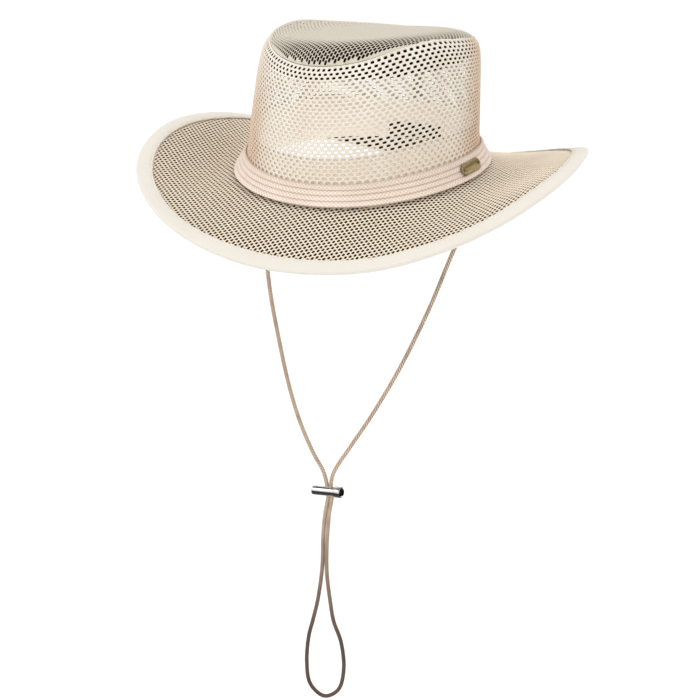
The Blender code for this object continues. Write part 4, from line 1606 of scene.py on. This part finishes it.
def braided_cord(finish):
    """One round braid from sleeve to sleeve: right and left turning strands that pass over and under."""
    count = CORD_ROWS
    sides = CORD_SIDES
    route, length = smooth_route([(x, 0.0, z) for x, z in CORD_ROUTE], count)
    tangent = unit(np.gradient(route, axis=0))
    side = np.tile((0.0, 1.0, 0.0), (count, 1))
    other = unit(np.cross(tangent, side))
    turns = np.arange(sides) * 2 * math.pi / sides
    along = np.linspace(0.0, length, count)
    phase = 2 * math.pi * along[:, None] / BRAID_LAY
    right = np.abs(np.sin(BRAID_STRANDS * (turns[None] + phase) / 2))
    left = np.abs(np.sin(BRAID_STRANDS * (turns[None] - phase) / 2))
    over = 0.5 + 0.5 * np.tanh(6 * np.sin(BRAID_STRANDS * turns)[None] * np.sin(BRAID_STRANDS * phase))
    crest = np.maximum(right * (0.82 + 0.18 * over), left * (0.82 + 0.18 * (1 - over)))
    # Painted shade of the braid's grooves, kept for the cord's finish
    groove_shade = np.clip(1.6 * (1 - crest) + 0.4 * (1 - over), 0.0, 1.0)
    radius = CORD_DIAMETER / 2 * (BRAID_CORE + BRAID_RELIEF * crest)
    out = side[:, None] * np.cos(turns)[None, :, None] + other[:, None] * np.sin(turns)[None, :, None]
    points = route[:, None] + out * radius[..., None]
    first = count * sides
    index = np.arange(first).reshape(count, sides)
    following = np.roll(index, -1, axis=1)
    corners = (index[:-1], following[:-1], following[1:], index[1:])
    faces = np.stack(corners, axis=-1).reshape(-1, 4).tolist()
    faces += [(first, b, a) for a, b in zip(index[0].tolist(), following[0].tolist())]
    faces += [(first + 1, a, b) for a, b in zip(index[-1].tolist(), following[-1].tolist())]
    all_points = points.reshape(-1, 3).tolist() + [tuple(route[0]), tuple(route[-1])]
    made = mesh_piece("braided_cord", all_points, faces, finish)
    point_values(made.data, "groove_shade", np.append(groove_shade, (0.0, 0.0)))
    return face_outwards(made), route, length


def cord_sleeve(side, finish):
    """A small sewn sleeve under the brim's root that holds one end of the cord."""
    bore = CORD_DIAMETER / 2 + CORD_CLEARANCE
    radius = bore + SLEEVE_WALL
    x = side * abs(CORD_ROUTE[0][0])
    share = (abs(x) + radius - HEAD_HALF_WIDTH - BRIM_IN) / BRIM_WIDTH
    brim_top = float(brim_point(share, 0.0 if side > 0 else 180.0)[2])
    top = brim_top - BRIM_THICKNESS - UNDER_THICKNESS - 3 * LAYER_GAP
    edge = SLEEVE_ROUNDING
    profile = [(0.0, 0.0), (0.0, radius - edge), (edge, radius)]
    for k in range(1, SLEEVE_STEPS):
        swell = -0.0001 if k in SLEEVE_SEAMS else 0.00004
        profile.append((SLEEVE_LENGTH * k / SLEEVE_STEPS, radius + swell))
    profile += [
        (SLEEVE_LENGTH - edge, radius),
        (SLEEVE_LENGTH, radius - edge),
        (SLEEVE_LENGTH, bore + 0.0002),
        (SLEEVE_LENGTH - edge, bore),
        (SLEEVE_WALL, bore),
        (SLEEVE_WALL, 0.0),
    ]
    name = "cord_sleeve_left" if side > 0 else "cord_sleeve_right"
    made = lathe(name, profile, 32, finish, Vector((x, 0.0, top)), Vector((0.0, 0.0, -1.0)), 60.0)
    spots = np.empty(len(made.data.vertices) * 3)
    made.data.vertices.foreach_get("co", spots)
    spots = spots.reshape(-1, 3)
    u = np.arctan2(spots[:, 1], spots[:, 0] - x) * radius
    lay_uvs(made.data, np.stack([u, spots[:, 2]], axis=1))
    return made


# Cord lock

def lock_place(along, across, rise):
    """A point of the lock from its own axes."""
    turn = math.radians(-LOCK_TILT)
    x = along * math.cos(turn) + rise * math.sin(turn)
    z = -along * math.sin(turn) + rise * math.cos(turn)
    return Vector((LOCK_X + x, across, LOCK_Z + z))


def slotted(name, profile, sides, extra, finish):
    """A turned piece on the lock's axis, with the slot for the two cords cut across it."""
    origin = lock_place(0.0, 0.0, 0.0)
    axis = lock_place(1.0, 0.0, 0.0) - origin
    turned = lathe(name, profile, sides, finish, origin, axis)
    reach = CORD_PITCH / 2 + CORD_DIAMETER / 2 + CORD_CLEARANCE
    half_width = CORD_DIAMETER / 2 + CORD_CLEARANCE
    through = COLLAR_RADIUS * 2
    low, high = -reach, reach + extra
    corners = ((low, -half_width), (high, -half_width), (high, half_width), (low, half_width))
    layers = [[lock_place(x, y, z) for x, y in corners] for z in (-through, through)]
    return cut_out(turned, [skin("slot_cutter", layers, finish)])


def cord_lock_barrel(finish):
    """The turned barrel, its flared collar and the slot for the cords."""
    starts = {
        "tail": -LOCK_TAIL,
        "collar": LOCK_HEAD - COLLAR_LENGTH,
        "head": LOCK_HEAD,
        "end": -LOCK_TAIL + LOCK_END,
    }
    radii = {"axis": 0.0, "barrel": LOCK_RADIUS, "collar": COLLAR_RADIUS, "bore": LOCK_RADIUS - LOCK_WALL}
    profile = [
        (starts[start] + LOCK_WALL * shift, radii[radius] + LOCK_WALL * swell)
        for start, shift, radius, swell in BARREL_ROWS
    ]
    return slotted("lock_barrel_metal", profile, 64, 0.0, finish)


def cord_lock_plunger(finish):
    """The plunger, slightly domed at its pressed end, with the slot that lets it grip the cords."""
    radius = LOCK_RADIUS - LOCK_WALL - PLUNGER_GAP
    edge = LOCK_WALL
    tip = LOCK_HEAD + PLUNGER_PROUD
    profile = [
        (-PLUNGER_TAIL, 0.0),
        (-PLUNGER_TAIL, radius),
        (tip - edge, radius),
        (tip - edge * 0.35, radius - edge * 0.3),
        (tip - edge * 0.1, radius - edge),
        (tip - edge * 0.1, radius * 0.62),
        (tip - edge * 0.45, radius * 0.58),
        (tip - edge * 0.45, 0.0),
    ]
    return slotted("lock_plunger_metal", profile, 48, PLUNGER_TRAVEL, finish)


# Room

def floor():
    """A wide white floor far under the hat, which polished metal doesn't mirror."""
    half = FLOOR_HALF
    points = [(x, y, FLOOR_LEVEL) for x, y in ((-half, -half), (half, -half), (half, half), (-half, half))]
    made = mesh_piece("floor", points, [(0, 1, 2, 3)], floor_finish(), smooth=False)
    made.visible_glossy = False


def area_light(name, place, size, power):
    data = bpy.data.lights.new(name, "AREA")
    data.size = size
    data.energy = power
    made = bpy.data.objects.new(name, data)
    made.location = place
    made.rotation_euler = Vector(place).to_track_quat("Z", "Y").to_euler()
    bpy.context.scene.collection.objects.link(made)


def room_colour(sky):
    """White for the eye and the cloth, with dark bands that only polished metal mirrors."""
    rise = sky.split(sky.node("ShaderNodeTexCoord", output="Generated"))[2]
    height = sky.node("ShaderNodeMapRange", {}, {"Value": rise, "From Min": -1.0})
    bands = sky.node("ShaderNodeValToRGB", {}, {"Fac": height})
    ramp = bands.socket.node.color_ramp
    for element, light in zip(ramp.elements, MIRROR_ENDS):
        element.color = (light, light, light, 1.0)
    for position, light in MIRROR_BANDS:
        ramp.elements.new(position).color = (light, light, light, 1.0)
    glossy = sky.node("ShaderNodeLightPath", output="Is Glossy Ray")
    return sky.blend(glossy, (1.0, 1.0, 1.0), bands)


def light_room():
    """Soft high light from the left and above on a white surround."""
    world = bpy.data.worlds.new("white_room")
    world.use_nodes = True
    sky = Nodes(world.node_tree)
    background = world.node_tree.nodes["Background"]
    sky.feed(background.inputs["Color"], room_colour(sky))
    background.inputs["Strength"].default_value = ROOM_STRENGTH
    bpy.context.scene.world = world
    for name, place, size, power in LIGHTS:
        area_light(name, place, size, power)
    bpy.context.scene.view_settings.view_transform = "Standard"


def settle(piece, nodes, body="hat"):
    """Hide the nodes that a piece stands in for, and hang it on the body it rides on."""
    if nodes:
        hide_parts(*nodes)
    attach(piece, body)
    return piece


def build():
    place_camera()
    finishes = make_finishes()
    pierced = pierced_net_tree()
    sewing = stitch_tree()

    cord, route, length = braided_cord(finishes["braid"])
    barrel = cord_lock_barrel(finishes["nickel"])
    plunger = cord_lock_plunger(finishes["black"])
    settle(cord, ["chin_cord"])
    settle(barrel, ["lock_barrel"])
    settle(plunger, ["lock_plunger"], "lock_plunger")
    tuple(route[0])
    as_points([tuple(p) for p in route[::12]] + [tuple(route[-1])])

    settle(crown_net(finishes["net"], pierced), ["crown_wall"])
    settle(crown_top_net(finishes["top"], pierced), ["crown_top"])
    settle(ridge_crease(finishes["net"]), [])
    settle(crown_lining_piece(finishes["taupe"]), ["crown_lining"])
    settle(back_seam_tape(finishes["tape"]), [])
    settle(size_label(finishes["taupe"]), [])
    settle(sweatband_piece(finishes["peach"]), ["sweatband"])
    settle(hat_band_piece(finishes["band"]), ["hat_band"])
    settle(brim_net(finishes["brim"], pierced), ["brim_mesh"])
    settle(under_brim_cloth(finishes["taupe"]), ["under_brim"])
    settle(brim_binding_piece(finishes["binding"]), ["brim_binding"])
    settle(band_plate(finishes["brass"]), ["label_plate"])
    settle(plate_pins(finishes["black"]), [])
    for side, node in ((1, "cord_tab_left"), (-1, "cord_tab_right")):
        settle(cord_sleeve(side, finishes["peach"]), [node])

    settle(binding_stitches(finishes["thread"], sewing), [])
    floor()
    light_room()


build()
